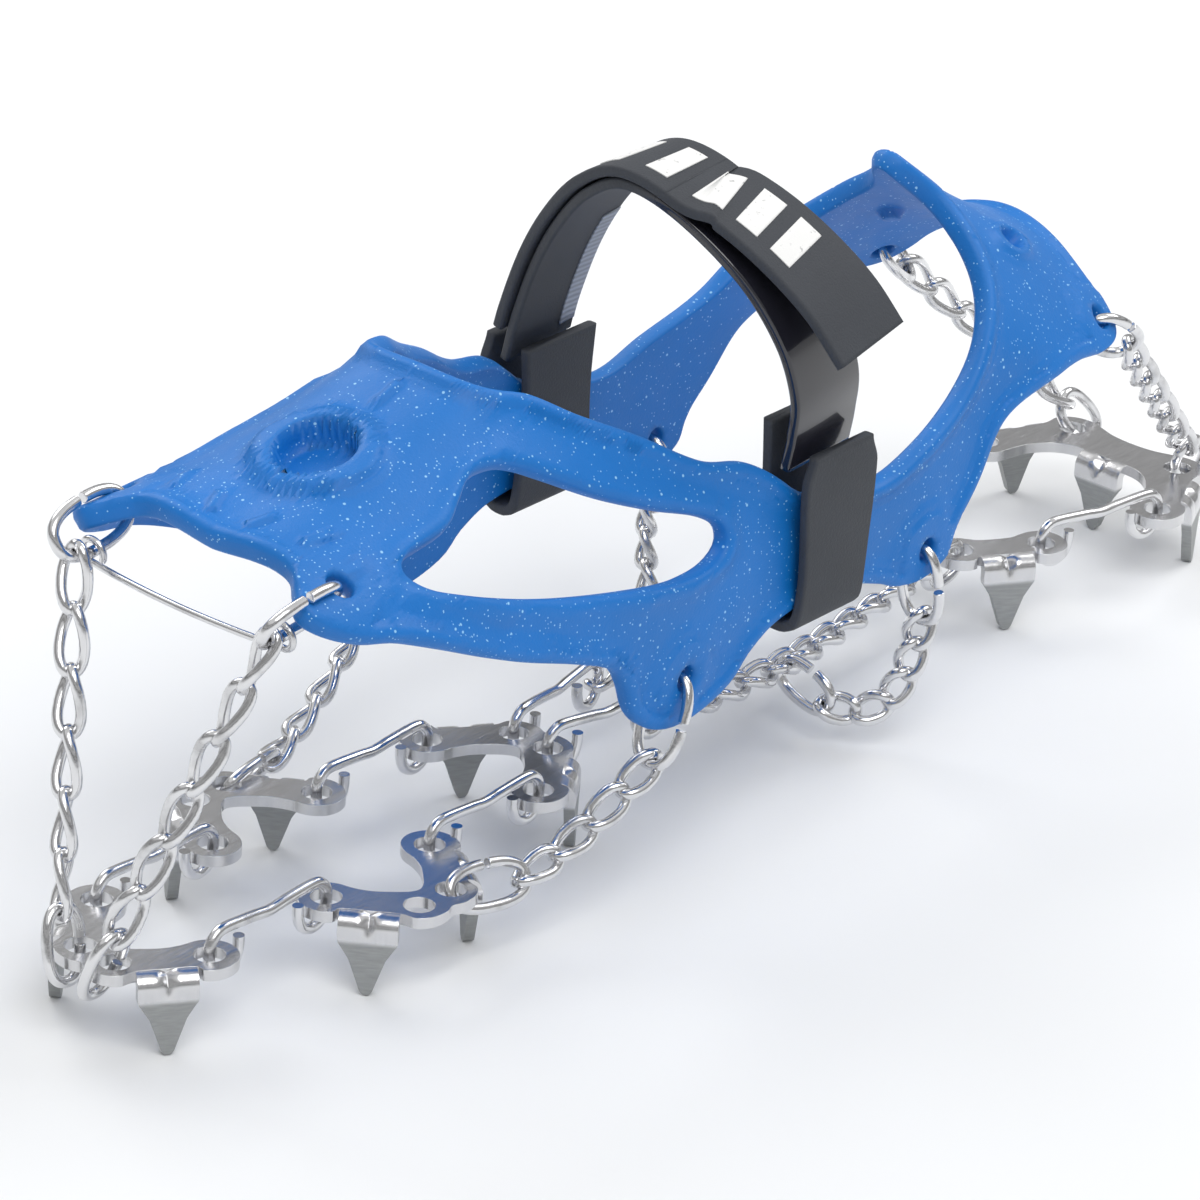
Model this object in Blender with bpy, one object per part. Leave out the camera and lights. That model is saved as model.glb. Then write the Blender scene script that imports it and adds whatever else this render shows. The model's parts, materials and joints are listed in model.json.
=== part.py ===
"""A slip-on ice cleat: an elastic harness and strap over a net of chain, hooks and spiked plates.

Lengths below are in millimetres; the scene is in metres. +X runs from the toe to the heel,
+Z is up, the left side is -Y, and the spikes stand on Z = 0.
"""

import math

import bpy
import numpy as np
from mathutils.geometry import delaunay_2d_cdt

MM = 0.001

# The middle of the bounding box's base, where the scene's origin lies.
BOX_CENTRE = np.array([12.5, -3.5, 0.0])

# Surfaces: colour, roughness and metalness.
BLUE_ELASTOMER = ((0.0, 0.13, 0.55), 0.5, 0.0)
BLACK_RUBBER = ((0.03, 0.03, 0.035), 0.6, 0.0)
BRIGHT_STEEL = ((0.72, 0.72, 0.72), 0.25, 1.0)

# Harness: stations from the middle of the toe to the middle of the heel.
# Each holds (x, half width, height) of the lower edge, the middle and the upper edge.
HARNESS_STATIONS = (
    ((-101, 0, 78), (-77, 0, 84), (-53, 0, 92)),
    ((-101, 12, 78.5), (-76, 11, 83.5), (-52, 10, 91.5)),
    ((-99, 24, 74.5), (-70, 20.5, 79.5), (-45, 14, 89.5)),
    ((-86, 30.5, 66), (-62, 25, 75.5), (-36, 18, 84)),
    ((-66, 32, 57), (-46, 28, 67), (-26, 22, 79)),
    ((-42, 32, 48), (-26, 31, 60), (-14, 26, 72)),
    ((-20, 32, 43), (-10, 31, 56), (-1, 29, 66)),
    ((10, 31, 40), (9, 31, 50), (10, 30, 60)),
    ((32, 30, 38), (30, 30, 47), (28, 30, 56)),
    ((53, 30, 43.5), (46, 30, 51.5), (41, 30, 59)),
    ((65, 29, 56), (60, 28, 60), (54, 28, 64)),
    ((83, 28, 60), (75, 27, 65.5), (63, 25, 71)),
    ((98, 24, 62), (86, 21, 70), (70, 18.5, 78)),
    ((103, 12, 70), (89, 11, 77), (71, 9.5, 86)),
    ((104, 0, 73.5), (88, 0, 80), (69.5, 0, 92)),
)
HARNESS_THICK = 3.0
RIM_HEIGHT = 0.8
RIM_WIDTH = 2.6
STEP = 5.5
STATION_SCALE = 20.0
ACROSS_SCALE = 30.0
LOOP_CLEARANCE = 0.45
GRID_CLEARANCE = 4.0

# Edges on the harness surface: (station, share of the way from the lower edge to the upper one).
LOWER_EDGE = (
    (0.0, 0.0), (0.7, 0.01), (1.3, 0.01), (1.6, -0.04), (1.85, -0.09), (2.2, -0.1),
    (2.5, -0.07), (2.8, -0.01), (3.3, 0.01), (4.0, 0.0), (4.6, 0.01), (5.05, -0.02),
    (5.4, -0.13), (5.7, -0.28), (5.95, -0.36), (6.2, -0.36), (6.4, -0.28), (6.5, -0.13),
    (6.7, 0.01), (7.1, 0.1), (7.6, 0.08), (7.95, -0.05), (8.15, -0.2), (8.4, -0.28),
    (8.65, -0.23), (8.85, -0.08), (9.1, 0.0), (9.6, 0.0), (10.2, 0.01), (10.8, 0.0),
    (11.25, -0.06), (11.6, -0.15), (12.0, -0.18), (12.35, -0.13), (12.7, -0.03), (13.2, 0.0),
    (14.0, 0.0),
)
UPPER_EDGE = (
    (14.0, 1.1), (13.7, 1.08), (13.35, 0.98), (12.7, 0.98), (12.0, 1.0), (11.0, 1.0),
    (10.0, 1.0), (9.0, 1.0), (8.0, 1.0), (7.0, 1.0), (6.2, 1.04), (5.6, 1.06), (5.0, 1.0),
    (4.0, 1.0), (3.0, 1.0), (2.2, 1.0), (1.4, 1.0), (0.7, 1.0), (0.0, 1.0),
)
WINDOW = (
    (1.9, 0.66), (2.15, 0.73), (2.6, 0.75), (3.2, 0.75), (3.9, 0.75), (4.6, 0.75), (5.15, 0.75),
    (5.55, 0.69), (5.75, 0.57), (5.65, 0.46), (5.3, 0.4), (4.6, 0.34), (3.9, 0.28), (3.2, 0.22),
    (2.6, 0.19), (2.2, 0.21), (2.02, 0.28), (2.08, 0.36), (2.16, 0.45), (2.02, 0.55),
)
TOE_LOBE = (1.86, 0.05)
MIDDLE_LOBE = (5.97, -0.13)
REAR_LOBE = (8.5, -0.03)
HEEL_LOBE = (12.05, 0.0)
LOBE_HOLE_RADIUS = 2.5
LOBE_DISC_RADIUS = 6.6
LOBE_DISC_HEIGHT = 0.8
TOE_BOSS = (0.0, 0.5)
TOE_BOSS_INNER = 7.0
TOE_BOSS_OUTER = 10.6
TOE_BOSS_HEIGHT = 1.6
HEEL_BOSS = (12.8, 0.6)
HEEL_BOSS_INNER = 3.2
HEEL_BOSS_OUTER = 5.2
HEEL_BOSS_HEIGHT = 0.9

# Spiked plates: every plate lies level with its top at this height.
PLATE_TOP = 14.0
PLATE_THICK = 2.0
PLATE_HOLE_RADIUS = 2.6
HOLE_SIDES = 12
SPIKE_WIDTH = 9.8
SPIKE_TIP_WIDTH = 1.4
SPIKE_THICK = 1.9
SPIKE_BEND = 1.6
SPIKE_OUT = 3.3

# Half outlines, as (out from the line of the hook holes, to the side).
V_PLATE_HALF = (
    (16.2, 0.0), (16.9, 2.4), (16.5, 5.2), (14.9, 7.3), (12.2, 8.0), (8.1, 10.8), (4.2, 13.6),
    (4.2, 15.2), (2.9, 16.5), (0.6, 17.2), (-1.9, 16.8), (-4.0, 15.1), (-4.8, 12.4),
    (-4.0, 9.8), (-1.8, 8.0), (1.2, 7.2), (4.0, 5.8), (6.5, 3.6), (8.2, 1.7), (8.9, 0.0),
)
V_PLATE_HOLES = ((12.3, 3.8), (0.0, 12.4))
V_PLATE_SPIKE = ((6.3, 8.2), (0.573, 0.82))
HEEL_PLATE_HALF = (
    (19.4, 0.0), (19.8, 4.5), (21.0, 8.2), (21.9, 11.6), (21.1, 14.8), (18.6, 17.0),
    (14.4, 17.3), (5.4, 21.3), (4.4, 23.0), (2.0, 24.5), (-1.2, 24.7), (-3.8, 23.2),
    (-4.9, 20.4), (-4.3, 17.4), (-2.2, 15.3), (1.0, 14.5), (4.6, 13.6), (8.0, 11.4),
    (10.2, 8.4), (10.9, 5.2), (10.9, 0.0),
)
HEEL_PLATE_HOLES = ((17.1, 12.1), (0.0, 19.9))
HEEL_PLATE_SPIKE = ((8.6, 16.0), (0.415, 0.91))
HEEL_PLATE_FRONT_SPIKE = ((14.2, 0.0), (-1.0, 0.0))
BAR_PLATE_HALF = (
    (0.0, 3.3), (4.9, 3.3), (6.0, 4.4), (8.2, 4.8), (10.6, 3.9), (12.3, 1.8), (12.6, -0.6),
    (11.6, -3.1), (9.6, -4.6), (7.2, -4.7), (5.0, -3.9), (3.2, -3.1), (0.0, -2.9),
)
BAR_PLATE_HOLE = 7.8

FRONT_PLATE_X = -112.1
SIDE_PLATE_X = -72.9
SIDE_PLATE_Y = 12.5
MIDDLE_PLATE_X = -33.4
HEEL_PLATE_X = 131.2
BAR_PLATE_AT = (97.2, 9.5)
BAR_PLATE_TURN = math.radians(33.0)

# Wire and chain.
HOOK_WIRE = 0.8
RING_WIRE = 0.8
CHAIN_WIRE = 0.65
LINK_HALF_WIDTH = 2.1
WIRE_GAP = 0.5
RING_HALF_WIDTH = 3.5
TOP_RING_HALF_WIDTH = 4.1
PLATE_RING_HALF_LENGTH = 6.0
RING_CUT = 0.5
RING_POINTS = 14
HOOK_POINTS = 26
WIRE_SIDES = 5
LINK_POINTS = 8
LINK_SIDES = 4
LEAST_DRIFT_MARGIN = 0.1
FRONT_BAR_WIRE = 0.6
FRONT_BAR_EYE = 2.2
FRONT_BAR_BOW = 1.5
FRONT_BAR_SHARE = 0.25
TOE_CHAIN_SHARE = 0.7
SIDE_NAMES = {-1: "left", 1: "right"}

# Where the rings and chains of the left side end or pass.
TOE_RING_END = (-112.6, -22.1, 73.5)
MIDDLE_RING_END = (-29.5, -32.5, 25.0)
MIDDLE_END_RING = ((-69.1, -24.8, 13.0), (-54.5, -28.2, 12.0))
MIDDLE_ROUTE = ((-44.0, -30.0, 16.2),)
REAR_RING_END = (45.0, -31.0, 25.0)
REAR_END_RING_END = (36.6, -18.8, 6.8)
REAR_ROUTE = ((43.5, -28.8, 13.0), (40.2, -24.4, 7.0))
HEEL_RING_END = (109.4, -24.9, 54.4)
LONG_HOOK_END = (5.0, -7.5)
SOLE_ROUTE = ((20.0, -8.6, 12.0), (34.0, -8.8, 11.5), (48.0, -7.2, 11.0), (64.0, -5.8, 11.5))
JOINED_LINK = 4
REAR_RING_HALF_WIDTH = 3.3

# Strap.
STRAP_THICK = 2.0
STRAP_GAP = 0.35
ARCH_WIDTH = 16.0
ARCH_ROUTE = (
    (11.0, -30.9, 67.5), (10.5, -32.2, 74.0), (9.0, -33.3, 82.0), (6.0, -31.5, 92.0),
    (2.5, -25.5, 102.0), (-0.5, -14.5, 110.2), (-1.3, -4.0, 112.8), (0.0, 4.4, 108.8),
    (3.5, 13.2, 100.1), (7.0, 21.0, 89.2), (10.0, 27.4, 76.5), (11.5, 30.6, 67.5),
)
COVER_WIDTH = 18.0
COVER_FROM = 0.45
COVER_TO = 0.95
TAIL_ROUTE = (
    (0.9, -18.5, 111.9), (3.0, -24.5, 108.6), (5.2, -31.0, 103.8), (7.2, -37.0, 98.2),
    (8.6, -42.5, 91.5),
)
TAIL_GAP = 0.6
TAIL_LEAD = 3.4
KEEPER_WIDTH = 18.0
KEEPER_X = 12.5
KEEPER_OUTER_Y = 35.3
KEEPER_INNER_Y = 26.3
KEEPER_BOTTOM = 38.2
KEEPER_OUTER_TOP = 70.0
KEEPER_INNER_TOP = 74.5
FAR_LOOP_TOP = 69.5


def clear_scene():
    """Empties the startup scene."""
    for item in list(bpy.data.objects):
        bpy.data.objects.remove(item, do_unlink=True)


def material(name, colour, roughness, metallic):
    """A plain surface with its own colour, roughness and metalness."""
    made = bpy.data.materials.new(name)
    made.use_nodes = True
    shader = made.node_tree.nodes["Principled BSDF"]
    shader.inputs["Base Color"].default_value = (*colour, 1.0)
    shader.inputs["Roughness"].default_value = roughness
    shader.inputs["Metallic"].default_value = metallic
    made.diffuse_color = (*colour, 1.0)
    return made


def add_object(name, points, faces, surface, pivot=(0.0, 0.0, 0.0)):
    """A mesh object from points in millimetres, with its origin at the pivot that it turns about."""
    pivot = np.asarray(pivot, float)
    mesh = bpy.data.meshes.new(name)
    local = (np.array([np.asarray(p, float) for p in points]) - pivot) * MM
    mesh.from_pydata([tuple(float(v) for v in p) for p in local], [], [tuple(f) for f in faces])
    mesh.validate()
    mesh.update()
    made = bpy.data.objects.new(name, mesh)
    made.location = (pivot - BOX_CENTRE) * MM
    bpy.context.collection.objects.link(made)
    mesh.materials.append(material(name + "_surface", *surface))
    return made


def unit(vector):
    """The vector at length one."""
    vector = np.asarray(vector, float)
    return vector / np.linalg.norm(vector)


def smooth_route(points, count, closed=False):
    """Even points on a smooth curve through the given ones."""
    points = np.asarray(points, float)
    total = len(points)
    spans = total if closed else total - 1
    dense = []
    for span in range(spans):
        if closed:
            a, b, c, d = (points[(span + k) % total] for k in (-1, 0, 1, 2))
        else:
            b, c = points[span], points[span + 1]
            a = points[span - 1] if span > 0 else 2 * b - c
            d = points[span + 2] if span + 2 < total else 2 * c - b
        for step in range(12):
            f = step / 12
            cubic = 3 * b - 3 * c + d - a
            square = 2 * a - 5 * b + 4 * c - d
            dense.append(0.5 * (2 * b + (c - a) * f + square * f * f + cubic * f ** 3))
    dense.append(points[0] if closed else points[-1])
    dense = np.array(dense)
    runs = np.concatenate([[0], np.cumsum(np.linalg.norm(np.diff(dense, axis=0), axis=1))])
    wanted = np.linspace(0, runs[-1], count + 1 if closed else count)
    if closed:
        wanted = wanted[:-1]
    return np.stack([np.interp(wanted, runs, dense[:, k]) for k in range(dense.shape[1])], axis=1)


def tangents_of(points, closed):
    """The direction of the route at each of its points."""
    if closed:
        ahead = np.roll(points, -1, axis=0)
        behind = np.roll(points, 1, axis=0)
    else:
        ahead = np.vstack([points[1:], points[-1:]])
        behind = np.vstack([points[:1], points[:-1]])
    runs = ahead - behind
    return runs / np.linalg.norm(runs, axis=1)[:, None]


def swept(points, binormals, outline, closed):
    """Points and faces of an outline carried along a route; the outline is (across, along the binormal)."""
    points = np.asarray(points, float)
    tangents = tangents_of(points, closed)
    verts = []
    for point, tangent, binormal in zip(points, tangents, binormals):
        binormal = unit(binormal - np.dot(binormal, tangent) * tangent)
        across = np.cross(binormal, tangent)
        verts.extend(point + across * u + binormal * v for u, v in outline)
    sides = len(outline)
    rings = len(points)
    faces = []
    for ring in range(rings if closed else rings - 1):
        after = (ring + 1) % rings
        for side in range(sides):
            follow = (side + 1) % sides
            a = ring * sides + side
            b = ring * sides + follow
            c = after * sides + follow
            d = after * sides + side
            faces.append((a, b, c, d))
    if not closed:
        faces.append(tuple(reversed(range(sides))))
        faces.append(tuple(range((rings - 1) * sides, rings * sides)))
    return verts, faces


def round_outline(radius, sides):
    """A circle as an outline for swept."""
    turns = [2 * math.pi * (k + 0.5) / sides for k in range(sides)]
    return [(radius * math.cos(t), radius * math.sin(t)) for t in turns]


def frame_binormals(points, first):
    """Binormals that turn as little as possible along an open route."""
    tangents = tangents_of(np.asarray(points, float), False)
    found = [unit(first - np.dot(first, tangents[0]) * tangents[0])]
    for tangent in tangents[1:]:
        last = found[-1]
        found.append(unit(last - np.dot(last, tangent) * tangent))
    return found


def wire(points, radius, sides, first=(0.0, 1.0, 0.0)):
    """Points and faces of a round wire along an open route."""
    binormals = frame_binormals(points, np.asarray(first, float))
    return swept(points, binormals, round_outline(radius, sides), False)


def merged(parts):
    """Several meshes as one list of points and faces."""
    points = []
    faces = []
    for some_points, some_faces in parts:
        start = len(points)
        points.extend(some_points)
        faces.extend(tuple(i + start for i in face) for face in some_faces)
    return points, faces


def joined_by_union(name, first, second, surface, pivot):
    """One closed body from two overlapping meshes."""
    made = add_object(name, *first, surface, pivot)
    other = add_object(name + "_tool", *second, surface, pivot)
    cut = made.modifiers.new("union", "BOOLEAN")
    cut.operation = "UNION"
    cut.solver = "EXACT"
    cut.object = other
    bpy.context.view_layer.update()
    evaluated = made.evaluated_get(bpy.context.evaluated_depsgraph_get())
    mesh = bpy.data.meshes.new_from_object(evaluated)
    made.modifiers.clear()
    made.data = mesh
    mesh.name = name
    bpy.data.objects.remove(other, do_unlink=True)
    return made


# The harness surface.


def station_at(along):
    """The three points of the harness section at a station, smooth between the listed ones."""
    stations = np.array(HARNESS_STATIONS, float)
    last = len(stations) - 1
    low = min(max(int(math.floor(along)), 0), last - 1)
    f = along - low

    def pick(index):
        mirror = index < 0 or index > last
        if index < 0:
            index = -index
        elif index > last:
            index = 2 * last - index
        section = stations[index].copy()
        if mirror:
            section[:, 1] *= -1
        return section

    a, b, c, d = pick(low - 1), pick(low), pick(low + 1), pick(low + 2)
    square = 2 * a - 5 * b + 4 * c - d
    cubic = 3 * b - 3 * c + d - a
    return 0.5 * (2 * b + (c - a) * f + square * f * f + cubic * f ** 3)


def harness_spot(along, across):
    """A point of the harness middle surface on the left side."""
    low, middle, high = station_at(along)
    t = across
    spot = low * (1 - t) * (1 - 2 * t) + middle * 4 * t * (1 - t) + high * t * (2 * t - 1)
    spot[1] *= -1
    return spot


def harness_frame(along, across):
    """The two surface slopes and the outward normal at a spot."""
    h = 0.02
    by_along = (harness_spot(along + h, across) - harness_spot(along - h, across)) / (2 * h)
    by_across = (harness_spot(along, across + h) - harness_spot(along, across - h)) / (2 * h)
    normal = unit(np.cross(by_along, by_across))
    return by_along, by_across, normal


def harness_move(spot, shift):
    """The surface coordinates of a spot moved by a shift in millimetres."""
    by_along, by_across, _ = harness_frame(*spot)
    slopes = np.stack([by_along, by_across], axis=1)
    step = np.linalg.lstsq(slopes, shift, rcond=None)[0]
    return spot[0] + step[0], spot[1] + step[1]


def harness_circle(centre, radius, count):
    """A circle of surface coordinates round a centre."""
    by_along, _, normal = harness_frame(*centre)
    first = unit(by_along)
    second = np.cross(normal, first)
    turns = [2 * math.pi * k / count for k in range(count)]
    return [
        harness_move(centre, radius * (math.cos(t) * first + math.sin(t) * second)) for t in turns
    ]


def harness_inset(loop, distance, closed):
    """A loop of surface coordinates moved to its left by a distance along the surface."""
    moved = []
    count = len(loop)
    for index, spot in enumerate(loop):
        before = loop[index - 1] if closed or index > 0 else loop[0]
        after = loop[(index + 1) % count] if closed or index < count - 1 else loop[-1]
        run = unit(harness_spot(*after) - harness_spot(*before))
        normal = harness_frame(*spot)[2]
        moved.append(harness_move(spot, distance * np.cross(normal, run)))
    return moved


def edge_on_harness(points, closed=False):
    """Even surface coordinates along an edge given by a few of them."""
    scaled = [(s * STATION_SCALE, t * ACROSS_SCALE) for s, t in points]
    length = sum(math.dist(a, b) for a, b in zip(scaled, scaled[1:]))
    even = smooth_route(scaled, int(length / STEP), closed)
    return [(s / STATION_SCALE, t / ACROSS_SCALE) for s, t in even]


def inside(loop, point):
    """Whether a point lies inside a closed loop."""
    x, y = point
    found = False
    for (ax, ay), (bx, by) in zip(loop, loop[1:] + loop[:1]):
        if (ay > y) != (by > y) and x < ax + (y - ay) * (bx - ax) / (by - ay):
            found = not found
    return found


def centre_line(along, top, boss, reaches):
    """Surface coordinates between the edges on a centre line, with those where a boss crosses it."""
    slope = np.linalg.norm(harness_frame(along, 0.5)[1])
    found = {RIM_WIDTH / slope, top - RIM_WIDTH / slope}
    found.update(boss[1] + side * reach / slope for reach in reaches for side in (-1, 1))
    for step in range(1, 8):
        share = top * step / 8
        if min(abs(share - other) for other in found) > 2.0 / slope:
            found.add(share)
    return [(along, share) for share in sorted(found)]


def harness_loops():
    """The outer edge and the holes of the left half, and the loops where its relief changes."""
    lower = edge_on_harness(LOWER_EDGE)
    upper = edge_on_harness(UPPER_EDGE)
    window = edge_on_harness(WINDOW, True)
    outline = lower + centre_line(14.0, upper[0][1], HEEL_BOSS, ())
    reaches = (TOE_BOSS_INNER - 0.7, TOE_BOSS_INNER, TOE_BOSS_OUTER, TOE_BOSS_OUTER + 0.7)
    outline += upper + list(reversed(centre_line(0.0, upper[-1][1], TOE_BOSS, reaches)))
    lobes = (TOE_LOBE, MIDDLE_LOBE, REAR_LOBE, HEEL_LOBE)
    holes = [window] + [harness_circle(lobe, LOBE_HOLE_RADIUS, 10) for lobe in lobes]
    return outline, holes, lower, upper, window


def relief_of(spot, edges):
    """How far the outer face stands out at a spot, for the rim, the lobe discs and the bosses."""
    point = harness_spot(*spot)
    rim = min(np.linalg.norm(edge - point, axis=1).min() for edge in edges)
    height = RIM_HEIGHT * max(0.0, 1.0 - rim / RIM_WIDTH) if rim < RIM_WIDTH else 0.0
    for lobe in (TOE_LOBE, MIDDLE_LOBE, REAR_LOBE, HEEL_LOBE):
        if np.linalg.norm(harness_spot(*lobe) - point) < LOBE_DISC_RADIUS + 0.1:
            height = max(height, LOBE_DISC_HEIGHT)
    bosses = (
        (TOE_BOSS, TOE_BOSS_INNER, TOE_BOSS_OUTER, TOE_BOSS_HEIGHT),
        (HEEL_BOSS, HEEL_BOSS_INNER, HEEL_BOSS_OUTER, HEEL_BOSS_HEIGHT),
    )
    for centre, inner, outer, rise in bosses:
        reach = np.linalg.norm(harness_spot(*centre) - point)
        if inner - 0.1 < reach < outer + 0.1:
            height = max(height, rise)
    return height


def harness_half():
    """Surface coordinates and triangles of the left half."""
    outline, holes, lower, upper, window = harness_loops()
    circles = []
    for lobe in (TOE_LOBE, MIDDLE_LOBE, REAR_LOBE, HEEL_LOBE):
        circles.append(harness_circle(lobe, LOBE_DISC_RADIUS, 12))
        circles.append(harness_circle(lobe, LOBE_DISC_RADIUS + 0.6, 12))
    bosses = (
        (TOE_BOSS, TOE_BOSS_INNER, TOE_BOSS_OUTER, 20),
        (HEEL_BOSS, HEEL_BOSS_INNER, HEEL_BOSS_OUTER, 12),
    )
    for centre, inner_radius, outer_radius, count in bosses:
        for radius in (inner_radius - 0.7, inner_radius, outer_radius, outer_radius + 0.7):
            circles.append(harness_circle(centre, radius, count))
    insets = [
        harness_inset(lower, RIM_WIDTH, False),
        harness_inset(upper, RIM_WIDTH, False),
        harness_inset(window, -RIM_WIDTH, True),
    ]
    points = []
    edges = []
    for loop in [outline, *holes]:
        start = len(points)
        points.extend(loop)
        edges.extend((start + k, start + (k + 1) % len(loop)) for k in range(len(loop)))
    fixed = len(points)
    circle_edges = []
    for loop in circles:
        start = len(points)
        points.extend(loop)
        circle_edges.extend((start + k, start + (k + 1) % len(loop)) for k in range(len(loop)))
    for loop in insets:
        points.extend(loop)
    along = np.arange(0.0, 14.01, 0.5)
    across = np.arange(-0.3, 1.2, 0.25)
    points.extend((s, t) for s in along for t in across)
    sized = [(s * STATION_SCALE, t * ACROSS_SCALE) for s, t in points]
    loops = [[(s * STATION_SCALE, t * ACROSS_SCALE) for s, t in loop] for loop in [outline, *holes]]
    kept = list(range(fixed))
    order = {index: index for index in range(fixed)}
    for index in range(fixed, len(points)):
        spot = sized[index]
        reach = LOOP_CLEARANCE if index < len(points) - len(along) * len(across) else GRID_CLEARANCE
        near = np.array([sized[other] for other in kept]) - spot
        gaps = np.hypot(near[:, 0], near[:, 1])
        if gaps.min() <= reach:
            order[index] = int(gaps.argmin())
            continue
        if inside(loops[0], spot) and not any(inside(hole, spot) for hole in loops[1:]):
            order[index] = len(kept)
            kept.append(index)
    flat = [sized[index] for index in kept]
    joins = [(order[a], order[b]) for a, b in edges]
    for a, b in circle_edges:
        if a in order and b in order and order[a] != order[b]:
            joins.append((order[a], order[b]))
    found = delaunay_2d_cdt(flat, joins, [], 0, 1e-5)
    spots = [(x / STATION_SCALE, y / ACROSS_SCALE) for x, y in found[0]]
    triangles = []
    for face in found[2]:
        middle = np.mean([found[0][k] for k in face], axis=0)
        if inside(loops[0], middle) and not any(inside(hole, middle) for hole in loops[1:]):
            a, b, c = (np.array(found[0][k]) for k in face)
            turn = (b[0] - a[0]) * (c[1] - a[1]) - (b[1] - a[1]) * (c[0] - a[0])
            if abs(turn) > 1e-6:
                triangles.append(tuple(face) if turn > 0 else tuple(reversed(face)))
    edge_points = [np.array([harness_spot(*spot) for spot in loop]) for loop in (lower, upper, window)]
    return spots, triangles, edge_points


def harness(surface):
    """The whole elastic harness as one body, the right half a mirror image of the left."""
    spots, triangles, edges = harness_half()
    outer = []
    inner = []
    for spot in spots:
        point = harness_spot(*spot)
        normal = harness_frame(*spot)[2]
        if abs(point[1]) < 1e-4:
            normal = unit((normal[0], 0.0, normal[2]))
            point[1] = 0.0
        outer.append(point + normal * (HARNESS_THICK / 2 + relief_of(spot, edges)))
        inner.append(point - normal * HARNESS_THICK / 2)
    count = len(spots)
    right = {}
    for index in range(count):
        if abs(outer[index][1]) < 1e-4:
            right[index] = index
        else:
            right[index] = len(outer)
            outer.append(outer[index] * (1, -1, 1))
            inner.append(inner[index] * (1, -1, 1))
    top = list(triangles)
    top.extend((right[a], right[c], right[b]) for a, b, c in triangles)
    used = sorted({index for face in top for index in face})
    place = {index: new for new, index in enumerate(used)}
    top = [tuple(place[k] for k in face) for face in top]
    outer = [outer[index] for index in used]
    inner = [inner[index] for index in used]
    shift = len(outer)
    faces = list(top)
    faces.extend((c + shift, b + shift, a + shift) for a, b, c in top)
    sides = {(a, b) for face in top for a, b in zip(face, face[1:] + face[:1])}
    for a, b in sorted(sides):
        if (b, a) not in sides:
            faces.append((b, a, a + shift, b + shift))
    return add_object("harness", outer + inner, faces, surface)


# Plates.


def flat_plate(outline, holes, place):
    """Points and faces of a flat plate with round holes, carried to its place."""
    flat = list(outline)
    edges = [(k, (k + 1) % len(flat)) for k in range(len(flat))]
    rings = []
    for x, y in holes:
        start = len(flat)
        ring = [
            (x + PLATE_HOLE_RADIUS * math.cos(2 * math.pi * k / HOLE_SIDES),
             y + PLATE_HOLE_RADIUS * math.sin(2 * math.pi * k / HOLE_SIDES))
            for k in range(HOLE_SIDES)
        ]
        flat.extend(ring)
        rings.append(ring)
        edges.extend((start + k, start + (k + 1) % HOLE_SIDES) for k in range(HOLE_SIDES))
    found = delaunay_2d_cdt(flat, edges, [], 0, 1e-5)
    top = []
    for face in found[2]:
        middle = tuple(np.mean([found[0][k] for k in face], axis=0))
        if inside(list(outline), middle) and not any(inside(ring, middle) for ring in rings):
            a, b, c = (found[0][k] for k in face)
            turn = (b[0] - a[0]) * (c[1] - a[1]) - (b[1] - a[1]) * (c[0] - a[0])
            top.append(tuple(face) if turn > 0 else tuple(reversed(face)))
    count = len(found[0])
    points = [place(x, y, PLATE_TOP) for x, y in found[0]]
    points += [place(x, y, PLATE_TOP - PLATE_THICK) for x, y in found[0]]
    faces = list(top)
    faces.extend((c + count, b + count, a + count) for a, b, c in top)
    sides = {(a, b) for face in top for a, b in zip(face, face[1:] + face[:1])}
    faces.extend((b, a, a + count, b + count) for a, b in sorted(sides) if (b, a) not in sides)
    return points, faces


def spike(at, outward, place):
    """Points and faces of a pointed tab that leaves a plate's edge and turns down."""
    centre = PLATE_TOP - PLATE_THICK / 2
    outward = unit(outward)
    sideways = np.array([-outward[1], outward[0]])
    bend = 4
    path = [(SPIKE_OUT - 1.6, centre), (SPIKE_OUT, centre)]
    for step in range(1, bend + 1):
        turn = math.pi / 2 * step / bend
        path.append((SPIKE_OUT + SPIKE_BEND * math.sin(turn), centre - SPIKE_BEND * (1 - math.cos(turn))))
    down = centre - SPIKE_BEND
    wide = SPIKE_WIDTH / 2
    tip = SPIKE_TIP_WIDTH / 2
    widths = [wide] * len(path)
    for height, width in ((down - 1.8, wide), (down - 2.6, wide - 0.5), (0.7, tip + 0.35), (0.0, tip - 0.25)):
        path.append((SPIKE_OUT + SPIKE_BEND, height))
        widths.append(width)
    points = []
    half = SPIKE_THICK / 2
    for index, ((out, height), width) in enumerate(zip(path, widths)):
        before = path[max(index - 1, 0)]
        after = path[min(index + 1, len(path) - 1)]
        run = unit(np.subtract(after, before))
        across = np.array([-run[1], run[0]])
        for side, face in ((-1, 1), (1, 1), (1, -1), (-1, -1)):
            flat = np.array(at) + outward * (out + across[0] * half * face) + sideways * side * width
            points.append(place(flat[0], flat[1], height + across[1] * half * face))
    faces = [(0, 1, 2, 3)]
    for ring in range(len(path) - 1):
        for side in range(4):
            a = ring * 4 + side
            b = ring * 4 + (side + 1) % 4
            faces.append((b, a, a + 4, b + 4))
    last = len(points)
    faces.append((last - 1, last - 2, last - 3, last - 4))
    return points, faces


def mirrored(half):
    """A closed outline from one half, without repeating the points on the line between."""
    other = [(x, -y) for x, y in reversed(half) if abs(y) > 1e-9]
    return list(reversed([*half, *other]))


def turned_place(centre_x, centre_y, turn):
    """Carries plate coordinates to the world: turned about Z, then moved."""
    cos, sin = math.cos(turn), math.sin(turn)

    def place(x, y, z):
        return np.array([centre_x + cos * x - sin * y, centre_y + sin * x + cos * y, z])

    return place


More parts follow.
